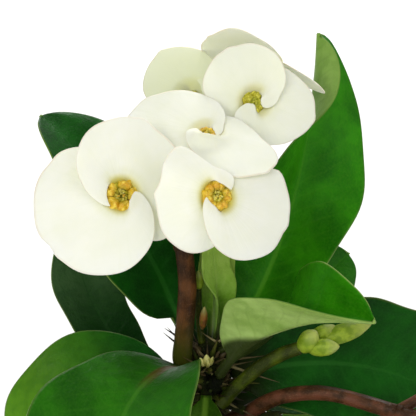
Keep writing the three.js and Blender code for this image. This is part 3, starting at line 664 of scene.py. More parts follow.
# pitch and roll go from the foot to the tip, left and right from the flat to the folded part of each half.
# shade: dark up to the first share of the length, clear from the second, and its lean to one side.
leaves = {
    "leaf_front_left": dict(height=167, azimuth=239, sweep=22, pitch=(45, -88), roll=(14, -21), length=102,
        width=49, tone="rich", ribTint=colour(92, 62, 24)),
    "leaf_left_low": dict(height=156, azimuth=214, sweep=-16, pitch=(75, -121), roll=(-6, -24), length=78,
        width=39, tone="deep", tip="yellow", tipFrom=0.28),
    "leaf_left_mid": dict(height=155, azimuth=160, sweep=-6, pitch=(20, 90), roll=(-36, -58), length=67,
        width=21, tone="dull", tip="sheen", tipFrom=0.44, bare=True),
    "leaf_left_tall": dict(height=168, azimuth=141, sweep=18, pitch=(68, 38), roll=(-34, 0), length=89,
        width=44, foot=0.16, taper=0.5, tone="deep"),
    "leaf_right_tall": dict(height=167, azimuth=48, sweep=15, pitch=(37, 86), roll=(-12, 106), length=109,
        width=42, left=(29, 46), right=(21, 12), fold=(0.67, 0.86), taper=0.75, tone="bright"),
    "leaf_right_rear": dict(height=163, azimuth=33, sweep=15, pitch=(34, 18), roll=(20, 45), length=58,
        width=22, tone="rich"),
    "leaf_right_trough": dict(height=167, azimuth=317, sweep=18, pitch=(60, 5), roll=(-16, 36), length=63,
        width=35, left=(-14, 50), right=(61, 54), fold=(0.2, 0.95), foot=0.15, taper=0.62, tone="bright",
        shade=(0.38, 0.5, -1.4), lower="pale", footAzimuth=298),
    "leaf_right_low": dict(height=163, azimuth=8, pitch=(17, -45), roll=(72, 46), length=82, width=44,
        taper=0.7, tone="deep"),
    "leaf_young": dict(height=176.5, azimuth=110, pitch=(100, 60), roll=(32, 36), length=38, width=16,
        out=2.2, left=(36, 6), right=(45, -7), fold=(0.4, 0.6), tone="young", tip="pale", footAzimuth=20),
    "leaf_young_rear": dict(height=173, azimuth=78, pitch=(66, 88), roll=(20, 20), length=36, width=12,
        tone="young", tip="pale"),
    "leaf_front": dict(height=161, azimuth=266, pitch=(-20, -70), length=64, width=25, tone="yellow",
        taper=0.75, shade=(-0.2, -0.1, 0)),
    "leaf_front_right": dict(height=145, azimuth=306, pitch=(12, -50), roll=(0, -10), length=82, width=38.5,
        taper=0.6, tone="deep"),
    "leaf_rear_left": dict(height=160, azimuth=104, sweep=7, pitch=(40, -18), length=84, width=33,
        taper=1.35, tone="deep", bare=True),
    "leaf_rear": dict(height=156, azimuth=84, pitch=(30, -35), length=88, width=35, tone="bright"),
    "leaf_rear_tall": dict(height=165, azimuth=104, pitch=(56, 26), length=76, width=31, tone="deep"),
    "leaf_rear_right": dict(height=153, azimuth=30, pitch=(8, -42), roll=(45, 30), length=82, width=38,
        taper=0.7, tone="deep"),
    "leaf_old_left": dict(height=147, azimuth=164, pitch=(8, -58), length=76, width=31, tone="deep"),
    "leaf_old_rear": dict(height=143, azimuth=112, pitch=(4, -60), length=74, width=30, tone="bright"),
    "leaf_old_right": dict(height=141, azimuth=12, pitch=(6, -58), length=74, width=30, tone="yellow"),
}


def leafMaterial(name, leaf):
    tone, under = tones[leaf["tone"]], lowerTones[leaf.get("lower", "soft")]
    look = newMaterial(name + "_green", 0.42, tone["gloss"], 0.06, 1, (0.4, 1, 0.1))
    place, reach = stored(look, "place"), stored(look, "reach")
    share, across, face = split(place)
    values = {"Place": place, "Reach": reach, "Spacing": 5.6, "Slant": 0.7}
    net = put("Group", values, node_tree=veins).outputs
    rib, sideVeins = net["Rib"], net["Side Veins"]
    patches, blots = mottled(reach, 0.07, 4, 0.3, 0.7), mottled(reach, 0.3, 6, 0.42, 0.64)
    grain = mottled(reach, 1.4, 4, 0.35, 0.7)
    upper = mix(calc("MULTIPLY_ADD", patches, 0.6, 0.22), tone["deep"], tone["fresh"])
    upper = tint(upper, tone["deep"], blots, 0.24)
    # Painted shade: each leaf darkens towards its foot, near the crown.
    upper = mix(ramp(share, 0.42, 0.08, 0, 0.55), upper, colour(4, 36, 4))
    if "tip" in leaf:
        tip, start = tipTones[leaf["tip"]], leaf.get("tipFrom", 0.25)
        far = mix(times(blots, 0.5), tip["fresh"], tip["deep"])
        upper = mix(ramp(share, start, start + 0.5, 0, 0.85), upper, far)
    upper = mix(ramp(calc("ABSOLUTE", across), 0.42, 0, 0, 0.3), upper, tone["fresh"])
    ribAmount = ramp(share, 0.7, 0, 0.16, 0.7)
    for mask, amount in ((grain, 0.12), (sideVeins, 0.08), (net["Net"], 0.03), (rib, ribAmount)):
        upper = tint(upper, tone["vein"], mask, amount)
    if "ribTint" in leaf:
        near = ramp(calc("ABSOLUTE", split(reach)[1]), 2.3, 1.1)
        upper = tint(upper, leaf["ribTint"], ramp(share, 0.4, 0.24, 0, 0.85), near)
    lower = mix(patches, under["deep"], under["fresh"])
    for mask in (blots, sideVeins):
        lower = tint(lower, under["vein"], mask, 0.2)
    lower = tint(lower, colour(172, 194, 120), rib, 0.6)
    base = tint(mix(face, upper, lower), colour(120, 128, 62), net["Margin"], 0.28)
    bare, full, slope = leaf.get("shade", (0.03, 0.2, 0))
    depth = times(share, calc("MULTIPLY_ADD", calc("MINIMUM", across, 0), slope, 1))
    base = mix(ramp(depth, full, bare, 0, 0.94), base, colour(30, 38, 6))
    relief = plus(times(sideVeins, -0.25), times(grain, 0.3))
    relief = plus(relief, calc("MULTIPLY_ADD", rib, -0.6, times(blots, 0.8)))
    return finishLook(look, base, ramp(grain, 0, 1, 0.36, 0.48), relief, 0.3, 0.35)


def leafOutline(leaf, s):
    # Share of the full width: foot is a bare petiole's share of the length, taper below 1 fills the foot.
    foot, taper = leaf.get("foot", 0), leaf.get("taper", 1)
    u, widest = max((s - foot) / (1 - foot), 0), taper / (taper + 0.5)
    return (u / widest) ** taper * (max(1 - u, 0) / (1 - widest)) ** 0.5


def leafPoint(leaf, seed):
    # Returns two functions: a point of the blade by its shares along and across, and half the width by the
    # share along.
    azimuth, sweep = leaf["azimuth"], leaf.get("sweep", 0)
    pitch, roll, fold = leaf["pitch"], leaf.get("roll", (0, 0)), leaf.get("fold", (0.55, 0.85))
    left, right = leaf.get("left", (14, 8)), leaf.get("right", (14, 8))
    wave = leafShape["wave"] * leaf["width"] / 34

    def onward(s):
        return heading(azimuth + sweep * s, lerp(*pitch, s))

    steps = 200
    line = [leafFoot(leaf)]
    for i in range(steps):
        line.append(line[-1] + onward((i + 0.5) / steps) * (leaf["length"] / steps))

    def half(s):
        return max(leaf["width"] / 2 * leafOutline(leaf, s), lerp(leafShape["petiole"] / 2, 0.35, s))

    def at(s, t):
        side, shift, turned = (1, 0, left) if t > 0 else (-1, 2, right)
        turn, along, out = radians(azimuth + sweep * s), onward(s), abs(t)
        level = Vector((-sin(turn), cos(turn), 0))
        level.rotate(Matrix.Rotation(radians(lerp(*roll, s)), 3, along))
        up = along.cross(level)
        reach = out * half(s) * (1 + 0.035 * sin(s * 23 + seed + shift) * out**3)
        bend = lerp(*turned, ease(s, *fold)) * ease(out, -0.35, 0.35)
        angle = radians(bend + leafShape["curl"] * out / 2)
        ripple = wave * out**2.5 * sin(9 * s + seed * 1.7 + shift) * ease(s, 0.15, 0.4)
        ripple += 0.5 * wave * noise.noise(Vector((s * 5, t * 2, seed))) * ease(s, 0.1, 0.3)
        tip = along * (0.7 * bell(t, 0.3) * ease(s, 0.97, 1.0))
        i = min(int(s * steps), steps - 1)
        point = line[i].lerp(line[i + 1], s * steps - i) + level * (side * reach * cos(angle))
        return point + up * (reach * sin(angle) + ripple) + tip

    return at, half


def buildLeaf(name, leaf, seed):
    rows, columns = leafShape["rows"], leafShape["columns"]
    if leaf["length"] < leafShape["small"]:
        rows, columns = leafShape["smallRows"], leafShape["smallColumns"]
    at, half = leafPoint(leaf, seed)
    cells = []
    for i in range(rows + 1):
        s = 1 - (1 - i / rows) ** 1.7
        row = []
        for j in range(columns + 1):
            u = 1 - 2 * j / columns
            t = copysign(1 - (1 - abs(u)) ** 1.25, u)
            flesh = lerp(leafShape["margin"], 0.85, ease(1 - abs(t), 0.0, 0.25))
            thick = lerp(flesh, lerp(leafShape["rib"], 0.9, s), bell(t * half(s), 1.3))
            row.append((at(s, t), thick, (s, t), (s * leaf["length"], t * half(s), 0)))
        cells.append(row)
    shells = Shells()
    blade(shells, cells, 0.4)
    shells.piece(name + "_blade", name, [leafMaterial(name, leaf)])


# Flowers

flower = {"spread": 152, "closing": 122, "claw": 2.5, "overLap": 4.4, "underLap": 2.8, "tuck": 3.6,
          "dish": 3.4, "pinwheel": 0.13, "recurve": 1.6, "thick": 0.55, "rim": 0.3, "steps": 96, "rings": 26,
          "collarRadius": 2.3, "collarHeight": 0.8}
eye = {"radius": 3.5, "glands": 5, "scales": 10, "stamens": 6,
       "cup": [(0.5, 0.9), (0.72, 1.7), (0.8, 2.3), (0.7, 2.35), (0.5, 1.8), (0, 1.5)]}
petals = {"white": colour(245, 245, 227), "cream": colour(236, 238, 212), "young": colour(218, 225, 182),
          "green": colour(196, 200, 112), "throat": colour(190, 178, 40), "back": colour(240, 242, 222),
          "rim": colour(214, 176, 150)}
# A bract's edge is its reach from the eye by angle, or an oval of reach, lap and width.
heads = {
    "flower_left": dict(at=(-23.9, -29.7, 235), facing=(283, 32), hand=1, eye=1.32, bracts=[
        dict(turn=67, tuck=4.2, edge=[(-150, 9), (-125, 15), (-100, 18), (-75, 19.5), (-50, 20.5),
            (-25, 21), (0, 22), (25, 21), (50, 19), (75, 14.5), (100, 10), (125, 7), (150, 5)]),
        dict(turn=216, tuck=2.6, notches=[(-4, 7, 0.035), (-68, 6, 0.02)], edge=[(-150, 6), (-125, 10),
            (-100, 16), (-75, 20.6), (-50, 22.8), (-25, 24), (0, 24), (25, 23.5), (50, 20.5), (75, 16),
            (100, 11), (125, 7), (150, 5)]),
    ]),
    "flower_left_rear": dict(at=(-27, -0.9, 225.2), facing=(125, 20), hand=1, bracts=[
        dict(turn=15, reach=21, lap=4.4, width=26),
        dict(turn=185, reach=20, lap=4.4, width=26),
    ]),
    "flower_front": dict(at=(1.2, -33.4, 236.2), facing=(295, 31), hand=-1, eye=1.15, bracts=[
        dict(turn=166, bend=-2.6, tuck=3.4, edge=[(-150, 5), (-130, 6.8), (-110, 7.2), (-90, 7.4),
            (-75, 8.8), (-65, 11.5), (-57, 15.5), (-50, 17), (-30, 16.4), (-14, 15.6), (0, 15.9),
            (25, 16.3), (50, 16.5), (75, 15.5), (100, 12), (125, 9), (150, 5)]),
        dict(turn=-29, bend=-1.2, ceiling=5.8, tuck=3.2, edge=[(-150, 4), (-120, 6.3), (-100, 9.5),
            (-75, 15), (-50, 18.4), (-25, 21.2), (0, 22), (25, 22.2), (45, 22), (70, 17), (95, 12),
            (120, 8), (150, 5)]),
    ]),
    "flower_right": dict(at=(12.6, 6.2, 250.1), facing=(287, 27), hand=-1, eye=0.85, green=0.2, halo=0.4,
        bracts=[
        dict(turn=108, bend=0.5, lip=3, tuck=1.5, edge=[(-150, 4), (-125, 5.5), (-100, 7.5), (-75, 11.7),
            (-50, 15.1), (-25, 17), (0, 17.2), (25, 16.8), (50, 15.5), (75, 12), (100, 9), (125, 7),
            (150, 5)]),
        dict(turn=-20, bend=-1, lip=3, tuck=1.2, edge=[(-150, 5), (-135, 7.8), (-115, 9.7), (-95, 10.5),
            (-75, 12.3), (-50, 14), (-25, 16.5), (0, 18.8), (20, 19), (35, 17.8), (50, 15.8), (75, 13),
            (100, 10), (125, 7), (150, 5)]),
    ]),
    "flower_rear_right": dict(at=(17, 22.2, 254.6), facing=(60, 48), hand=1, green=0.35, halo=0.5, bracts=[
        dict(turn=216, bend=-0.8, edge=[(-150, 4), (-100, 5.5), (-60, 8), (-30, 12), (-12, 16.5), (0, 18.5),
            (12, 16.5), (30, 13), (60, 9), (100, 6), (150, 4)]),
        dict(turn=46, bend=0.4, edge=[(-150, 4), (-100, 8), (-70, 15), (-45, 19.6), (-25, 20.8), (0, 20),
            (20, 20.3), (33, 19.4), (50, 14), (75, 8), (100, 5.5), (150, 4)]),
    ]),
    "flower_middle": dict(at=(-0.4, -12.2, 244.6), facing=(266, 70), hand=-1, eye=0.82, green=0.15,
        halo=0.35, bracts=[
        dict(turn=138, lip=3.2, tuck=2.4, crest=0.8, edge=[(-150, 4), (-125, 4.8), (-100, 6), (-75, 9.9),
            (-50, 14.5), (-25, 19.7), (0, 24.5), (12, 25.5), (25, 25), (45, 19), (70, 14), (95, 10),
            (120, 7), (150, 5)]),
        dict(turn=-40, lip=2.6, tuck=2, lift=(-50, 3.2), edge=[(-150, 3.8), (-120, 5.4), (-95, 7.4),
            (-75, 9.4), (-55, 12), (-40, 17), (-25, 20.6), (0, 22.2), (15, 22), (25, 19.8), (38, 15.8),
            (53, 14), (75, 12.5), (100, 11), (125, 8), (150, 5)]),
    ]),
    "flower_rear_left": dict(at=(-4.2, 19.2, 247.6), facing=(248, 45), hand=1, eye=0.45, green=0.75,
        halo=0.22, bracts=[
        dict(turn=136, bend=-1, edge=[(-150, 4.5), (-100, 8), (-75, 11), (-50, 14.2), (-25, 17.7),
            (0, 20.2), (12, 19), (25, 17.2), (50, 14.8), (75, 12), (100, 9), (150, 5)]),
        dict(turn=280, reach=20, lap=4.5, width=27),
    ]),
    "flower_rear": dict(at=(0, 33.5, 232), facing=(90, 6), hand=-1, green=0.2, bracts=[
        dict(turn=55, reach=21, lap=4.4, width=28),
        dict(turn=238, reach=22, lap=4.6, width=29),
    ]),
    "side_flower_front": dict(at=(80, -44, 172), facing=(296, 8), hand=1, bracts=[
        dict(turn=75, reach=21, lap=4.6, width=27),
        dict(turn=250, reach=22, lap=5, width=27),
    ]),
    "side_flower_top": dict(at=(78, -24, 195), facing=(318, 66), hand=-1, green=0.2, bracts=[
        dict(turn=10, reach=20, lap=4.4, width=26),
        dict(turn=186, reach=20, lap=4.4, width=26),
    ]),
    "side_flower_rear": dict(at=(92, -12, 170), facing=(28, 10), hand=1, bracts=[
        dict(turn=100, reach=19, lap=4.4, width=26),
        dict(turn=275, reach=20, lap=4.4, width=27),
    ]),
}


def petalMaterial(name, green):
    look = newMaterial(name, 0.5, 0.25, 0.5, 1.6, (1, 0.95, 0.7))
    reach = stored(look, "reach")
    share, turn, face = split(stored(look, "place"))
    fromEye, _, throat = split(reach)
    soft = mottled(reach, 0.12, 3, 0.3, 0.7)
    rays = cloudy(join(times(turn, 13), times(fromEye, 0.06)), 1, 4)
    base = mix(times(soft, 0.5), petals["white"], petals["cream"])
    base = mix(ramp(rays, 0.5, 0.7, 0, 0.2), base, petals["cream"])
    base = mix(green, base, petals["young"])
    halo = times(throat, calc("MULTIPLY_ADD", rays, 0.3, 0.1))
    base = tint(base, petals["green"], ramp(fromEye, 9, 5), halo)
    base = tint(base, petals["throat"], ramp(fromEye, 6.4, 4, 0, 0.9), throat)
    base = tint(base, mix(times(soft, 0.6), petals["back"], petals["cream"]), face, 0.7)
    base = tint(base, petals["rim"], ramp(share, 0.96, 1), calc("MULTIPLY_ADD", soft, 0.4, 0.1))
    return finishLook(look, base, ramp(rays, 0.3, 0.7, 0.44, 0.56), plus(rays, times(soft, 0.5)), 0.12, 0.5)


def oval(bract, theta):
    along, across = (bract["reach"] + bract["lap"]) / 2, bract["width"] / 2
    centre = (bract["reach"] - bract["lap"]) / 2
    a = (cos(theta) / along) ** 2 + (sin(theta) / across) ** 2
    b = -2 * centre * cos(theta) / along**2
    c = (centre / along) ** 2 - 1
    return (-b + sqrt(b * b - 4 * a * c)) / (2 * a)


def bractEdge(bract, theta, seed=0):
    turn = degrees(theta)
    outline = through(bract["edge"], turn) if "edge" in bract else oval(bract, theta)
    ripple = 0.008 * sin(theta * 5 + seed) + 0.005 * sin(theta * 11 + seed * 2)
    outline *= 1 + 0.03 * bell(turn, 5) + ripple
    for middle, width, depth in bract.get("notches", []):
        outline *= 1 - depth * bell(turn - middle, width)
    lift = sin(radians(bract["turn"]) + theta)
    top = bract.get("ceiling", 1e3) / max(lift, 1e-3)
    return (outline**-9 + top**-9) ** (-1 / 9)


def bractPoint(bract, hand, theta, rho, seed):
    reach = bractEdge(bract, 0.0)
    tucked = ease(hand * degrees(theta), 50, 90)
    rise = flower["dish"] * lerp(ease(rho, 0.9, 5.7), bract.get("crest", 1.12), tucked)
    around, fold = bract.get("lift", (0, 0))
    rise += fold * bell(rho - 4.8, 2.6) * bell(degrees(theta) - around, 60)
    slope = hand * flower["pinwheel"] * rho * sin(theta)
    slope += (bract.get("bend", 0) - flower["recurve"]) * (rho / reach) ** 2
    ripple = 0.35 * (rho / reach) ** 3 * sin(theta * 4 + seed)
    ripple += 0.25 * (rho / reach) ** 2 * sin(theta * 7 + seed * 3)
    return polar(rho, radians(bract["turn"]) + theta, flower["collarHeight"] / 2 + rise + slope + ripple)


def bractCells(bract, hand, seed, size, halo):
    spread, small, cells = flower["spread"], min(size, 1), []
    for i in range(flower["steps"] + 1):
        bearing = lerp(-spread, spread, i / flower["steps"])
        theta, off = radians(bearing), abs(bearing)
        over = hand * theta > 0
        lip = bract.get("lip", flower["overLap"]) if over else flower["underLap"] * small
        inner = lerp(flower["claw"] * small, lip, ease(off, 35, 62))
        if over:
            inner = lerp(inner, bract.get("tuck", flower["tuck"]), ease(off, 66, 100))
        outer = max(bractEdge(bract, theta, seed), inner + 0.5)
        closing = min(max((off - flower["closing"]) / (spread - flower["closing"]), 0), 1)
        middle, shut = (inner + outer) / 2, sqrt(max(1 - closing**2.2, 0.004))
        inner, outer = middle + (inner - middle) * shut, middle + (outer - middle) * shut
        throat = halo * (1 - 0.9 * ease(off, 50, 80) if over else 1)
        row = []
        for j in range(flower["rings"] + 1):
            share = 1 - (1 - j / flower["rings"]) ** 1.15
            rho = lerp(inner, outer, share)
            thick = lerp(flower["thick"], flower["rim"], share**3)
            point = bractPoint(bract, hand, theta, rho, seed)
            row.append((point, thick, (share, theta), (rho, rho * theta + seed * 7, throat)))
        cells.append(row)
    return cells


def flowerFrame(head):
    out = heading(*head["facing"])
    right = Vector((0, 0, 1)).cross(out).normalized()
    up = out.cross(right)
    turn = Matrix((right, up, out)).transposed().to_4x4()
    return Matrix.Translation(Vector(head["at"])) @ turn


def buildBracts(name, head, seed):
    shells = Shells()
    r, high = flower["collarRadius"], flower["collarHeight"]
    lathe(shells, [(0, 0), (r * 0.8, 0), (r, 0.15), (r + 0.9, high - 0.1), (r + 0.8, high), (0, high)], 32)
    size, halo = head.get("eye", 1), head.get("halo", 1)
    for k, bract in enumerate(head["bracts"]):
        blade(shells, bractCells(bract, head["hand"], seed + k * 2.3, size, halo))
    shells.move(flowerFrame(head))
    look = petalMaterial(name + "_white", head.get("green", 0))
    shells.piece(name + "_bract_pair", name + "_bracts", [look])


def eyeLooks(green):
    # Materials of an eye; green: a younger, greener one.
    made = []
    for name, low, high, edge, rough in (
        ("gland", colour(222, 182, 34), colour(246, 218, 88), colour(212, 146, 30), 0.34),
        ("cup", colour(160, 150, 18), colour(190, 178, 40), colour(128, 116, 8), 0.45),
        ("pistil", colour(206, 196, 60), colour(234, 224, 122), colour(160, 148, 30), 0.5),
    ):
        look = newMaterial(name + ("Green" if green else "Gold"), rough, 0.3, 0.15, 0.5, (1, 0.8, 0.2))
        place = position(look)
        spots, tints = mottled(place, 1300, 4, 0.38, 0.62), mottled(place, 520, 3, 0.47, 0.62)
        base = tint(mix(spots, low, high), edge, tints, 0.6)
        if name == "gland":
            # Painted shade: olive at the foot of each gland, where it meets the cup.
            share = split(stored(look, "place"))[0]
            base = mix(ramp(share, 0.4, 0, 0, 0.7), base, colour(166, 150, 20))
        base = mix(green, base, mix(spots, colour(152, 162, 28), colour(206, 208, 78)))
        made.append(finishLook(look, base, None, plus(spots, tints), 0.5, 0.25))
    return made


def gland(shells, turn, radius, foot, seed):
    # One fleshy gland: a broad crumpled lip that meets its neighbours in a crease.
    count, tall, cells = 18, min(radius / eye["radius"], 1), []
    span, lean = 39 + 6 * sin(seed * 7), 0.4 * sin(seed * 11)
    for i in range(count + 1):
        s = i / count
        row = []
        for j in range(count + 1):
            t = 1 - 2 * j / count
            crease = noise.noise(Vector((s * 3.2, t * 2.2, seed * 3)))
            crease += 0.5 * noise.noise(Vector((s * 7, t * 5, seed)))
            wide = radians(span) * (0.92 + 0.1 * sin(pi * s)) * t
            lip = 1.17 - 0.17 * t**4 - 0.07 * bell(t - 0.2, 0.2) + 0.1 * crease
            out = lerp(radius * 0.4, radius * lip, s)
            high = 2.3 + 0.85 * sin(pi * (0.12 + 0.88 * s)) - 0.95 * s * s - 0.75 * abs(t) ** 3
            high += 0.5 * crease - 0.4 * bell(t, 0.22) * sin(pi * s) + lean * t
            thick = 0.6 * tall * max(1 - abs(t) ** 3, 0.35) * lerp(1, 0.5, s * s)
            row.append((polar(out, turn + wide, foot + high * tall), thick, (s, 0), (0, 0, 0)))
        cells.append(row)
    blade(shells, cells)


def buildEye(name, head, seed, looks):
    rng = random.Random(int(seed * 100))
    shells = Shells()
    size = head.get("eye", 1)
    tall = min(size, 1)
    foot, radius = flower["collarHeight"] + 0.3, eye["radius"] * size
    cup = [(0, 0), (1.1 * tall, 0), (1.3 * tall, 0.3)] + [(radius * r, z) for r, z in eye["cup"]]
    lathe(shells, [(r, foot + z * tall) for r, z in cup], 40, 1)
    for k in range(eye["glands"]):
        gland(shells, 2 * pi * k / eye["glands"] + rng.uniform(-0.14, 0.14), radius, foot, seed + k)
    for k in range(eye["scales"]):
        # Fringed scales that close the cup inside the glands
        turn = 2 * pi * (k + 0.5) / eye["scales"]
        root = polar(radius * 0.42, turn, foot + 1.7 * tall)
        tip = polar(radius * 0.2, turn + 0.5, foot + rng.uniform(2.5, 3.2) * tall)
        radii = [r * tall for r in (0.55, 0.5, 0.2)]
        tube(shells, [root, root.lerp(tip, 0.5), tip], radii, 10, 2 if k % 3 else 1)
    for k in range(eye["stamens"]):
        # Stamens and styles in the middle
        turn = k * 2.4
        root = polar(radius * (0.04 + 0.035 * k), turn, foot + 1.5 * tall)
        spread = 0.35
        rise = Vector((rng.uniform(-spread, spread), rng.uniform(-spread, spread), rng.uniform(1.2, 1.9)))
        tip = root + rise * tall
        tube(shells, [root, root.lerp(tip, 0.6), tip], [0.2, 0.18, 0.18], 8, 2)
        for side in (-0.18, 0.18):
            middle = tip + polar(side, turn, 0.05)
            tube(shells, [middle + Vector((0, 0, h)) for h in (-0.2, -0.1, 0.05, 0.18, 0.24)],
                 [0.08, 0.2, 0.23, 0.15, 0.05], 8, 2 if k % 2 else 0)
    shells.move(flowerFrame(head))
    shells.piece(name + "_eye_glands", name + "_eye", looks)


# Stalks and buds

mainStalk = {
    "path": [(-6.4, -2.5, 166.6), (-7.9, -3.4, 172), (-7.3, -3.8, 180), (-6.2, -3.5, 196), (-7.2, -3.2, 209)],
    "radii": [2.5, 3, 2.85, 2.75, 2.6],
    "groups": [
        [["flower_left", "flower_left_rear"], ["flower_front"]],
        [["flower_right", "flower_rear_right"], [["flower_middle"], ["flower_rear_left", "flower_rear"]]],
    ],
}
sideStalk = {
    "path": [(6.5, -4.6, 151), (11.5, -7.2, 155), (22, -11, 163), (36, -16, 166.8), (55, -24, 165.3)],
    "radii": [2.3, 2.35, 2.3, 2.2, 2.3],
    "groups": [["side_flower_front"], ["side_flower_top", "side_flower_rear"]],
}
budStalk = {"path": [(4, -6.2, 158), (8, -8, 164), (15, -9.5, 172), (22, -11, 177.5), (27, -12, 180)],
            "radii": [2.2, 2.1, 2.1, 2.1, 2.0]}
shoot = {"path": [(-1.9, 1.4, 175), (-2.8, 1.4, 184), (-2.8, 0.4, 194)], "radii": [1.2, 1, 0.85]}
fork = {"share": 0.42, "radius": 0.78, "least": 1.15}
stalkTones = {"brown": colour(100, 62, 28), "dark": colour(54, 31, 10), "speck": colour(136, 102, 72),
              "red": colour(102, 54, 44), "green": colour(72, 86, 10), "greenDark": colour(42, 52, 6),
              "olive": colour(58, 66, 12)}
buds = [dict(at=(27.8, -12.8, 179.8), axis=(0.5, -0.3, 1), length=8.6, radius=3.1),
        dict(at=(29.4, -13.2, 180.6), axis=(1, -0.3, 0.22), length=9.8, radius=2.8),
        dict(at=(29.4, -11.4, 181), axis=(1, 0.25, 0.62), length=10, radius=2.5),
        dict(at=(32.5, -11, 181.6), axis=(1, 0.15, 0.3), length=17, radius=2.7)]
shootBud = dict(at=(-2.8, 0.4, 193.4), axis=(0, -0.1, 1), length=6.5, radius=1.5)
dryBract = dict(at=(-1.7, -0.5, 180.5), axis=(0.08, -0.1, 1), length=8, radius=1.15)
# Buds in the crown: place beside the first one, lean, length and radius
crownBuds = [dict(at=(-0.4 + x, -5.15 + y, 170.4 + z), axis=(lean, -0.2, 1), length=long, radius=wide)
             for x, y, z, lean, long, wide in (
                 (0, 0, 0, 0, 4.4, 0.95), (0.75, -0.2, 0.1, 0.35, 3.7, 0.75),
                 (-0.75, -0.25, 0, -0.4, 3.5, 0.75), (0.2, -0.85, -0.1, 0.1, 3.0, 0.7))]
budGirth = [(0, 0.3), (0.08, 0.62), (0.25, 0.92), (0.5, 1.02), (0.72, 0.86), (0.88, 0.5), (0.97, 0.22),
            (1, 0.05)]


def stalkMaterial(name, base, dark, speck, red=0, foot=0):
    # red and foot: how much a flush and an olive foot show.
    look = newMaterial(name, 0.5, 0.18, 0.05, 0.6, (1, 0.5, 0.3))
    place = position(look)
    lines, fine = streaked(look, 0.25, 1.1, 0.42, 0.68), streaked(look, 1.4, 4.5, 0.56, 0.68)
    patches = mottled(place, 160, 4, 0.4, 0.62)
    skin = mix(patches, dark, base)
    for over, mask, amount in ((stalkTones["red"], patches, red), (dark, lines, 0.3), (speck, fine, 0.55)):
        skin = tint(skin, over, mask, amount)
    skin = mix(ramp(split(place)[2], 0.19, 0.173, 0, foot), skin, stalkTones["olive"])
    return finishLook(look, skin, ramp(lines, 0, 1, 0.42, 0.6), plus(lines, fine), 0.3, 0.25)


def curve(points, count):
    # A Catmull-Rom curve through the points, evenly spaced by point.
    pts = [Vector(p) for p in points]
    pts = [pts[0] * 2 - pts[1]] + pts + [pts[-1] * 2 - pts[-2]]
    spans, made = len(pts) - 3, []
    for i in range(count + 1):
        place = i / count * spans
        k = min(int(place), spans - 1)
        s, (a, b, c, d) = place - k, pts[k : k + 4]
        square, cube = 2 * a - 5 * b + 4 * c - d, 3 * b - a - 3 * c + d
        made.append(0.5 * (2 * b + (c - a) * s + square * s**2 + cube * s**3))
    return made


def radiiAlong(radii, count):
    spots = [(i / (len(radii) - 1), r) for i, r in enumerate(radii)]
    return [through(spots, i / count) for i in range(count + 1)]


def twig(shells, start, along, head, radius):
    out = heading(*head["facing"])
    foot = Vector(head["at"]) - out * 0.1
    neck = foot - out * 1.8
    pull = (foot - start).length * 0.4
    a, b, c, d = start - along * 0.8, start + along * pull, neck - out * pull, neck
    count = 22
    points = []
    for i in range(count + 1):
        s = i / count
        points.append(a * (1 - s) ** 3 + b * (3 * s * (1 - s) ** 2) + c * (3 * s * s * (1 - s)) + d * s**3)
    points += [neck.lerp(foot, 0.5), foot]
    radii = [radius * (1 + 0.25 * bell(i, 2)) for i in range(count + 1)] + [radius * 1.12, radius * 1.45]
    tube(shells, points, radii, 20, shape=dimple(radius))
    scales(shells, a + along * 1.6, along, radius * 1.25)


def dimple(seed):
    def shape(angle, along):
        spot = polar(1.5, angle, along * 0.22 + seed * 5)
        return 1 + 0.05 * noise.noise(spot) + 0.02 * cos(5 * angle + along * 0.05)
    return shape


def scales(shells, middle, along, radius):
    # The pair of small dry scales under a fork.
    across = along.cross(Vector((0, 1, 0.2))).normalized()
    for side in (-1, 1):
        out = across * side
        root = middle + out * radius * 0.75
        tip = root + along * 1.5 + out * 1.15
        tube(shells, [root - along * 0.4, root, root.lerp(tip, 0.55), tip], [0.75, 0.85, 0.55, 0.08], 10)


def names(part):
    return [part] if isinstance(part, str) else [n for p in part for n in names(p)]


def branches(shells, start, along, group, radius):
    found = names(group)
    if len(found) == 1:
        twig(shells, start, along, heads[found[0]], max(radius, fork["least"]))
        return
    middle = Vector((0, 0, 0))
    for name in found:
        middle += (Vector(heads[name]["at"]) - heading(*heads[name]["facing"]) * 8) / len(found)
    after = start.lerp(middle, fork["share"])
    onward = (after - start).normalized()
    first = start - onward
    points = [first.lerp(after, i / 10) for i in range(11)] + [after + onward * radius * 0.5]
    radii = [radius * (1 - 0.07 * sin(pi * i / 10) + 0.12 * bell(i - 10, 2)) for i in range(11)]
    tube(shells, points, radii + [radius * 0.6], 22, shape=dimple(radius))
    scales(shells, after - onward * 0.6, onward, radius)
    for half in group:
        branches(shells, after, onward, half, max(radius * fork["radius"], fork["least"]))


def buildStalk(name, node, stalk, look):
    shells = Shells()
    count = 60
    points, radii = curve(stalk["path"], count), radiiAlong(stalk["radii"], count)
    end, onward = points[-1], (points[-1] - points[-2]).normalized()
    points.append(end + onward * radii[-1] * 0.55)
    tube(shells, points, radii + [radii[-1] * 0.55], 32, shape=dimple(stalk["radii"][0]))
    for half in stalk.get("groups", []):
        branches(shells, end, onward, half, stalk["radii"][-1] * fork["radius"])
    if "groups" in stalk:
        scales(shells, end - onward, onward, radii[-1])
    shells.piece(name, node, [look])


def budMaterial(name, low, high):
    look = newMaterial(name, 0.42, 0.25, 0.15, 1, (0.8, 1, 0.3))
    share = split(stored(look, "reach"))[0]
    lines, spots = streaked(look, 0.2, 2.4, 0.4, 0.65), mottled(position(look), 420, 3, 0.4, 0.62)
    base = tint(mix(spots, low, high), colour(118, 136, 42), lines, 0.4)
    base = mix(ramp(share, 0.55, 1, 0, 0.5), base, colour(200, 204, 126))
    base = mix(ramp(share, 0.18, 0, 0, 0.7), base, colour(112, 88, 44))
    return finishLook(look, base, None, lines, 0.25, 0.2)


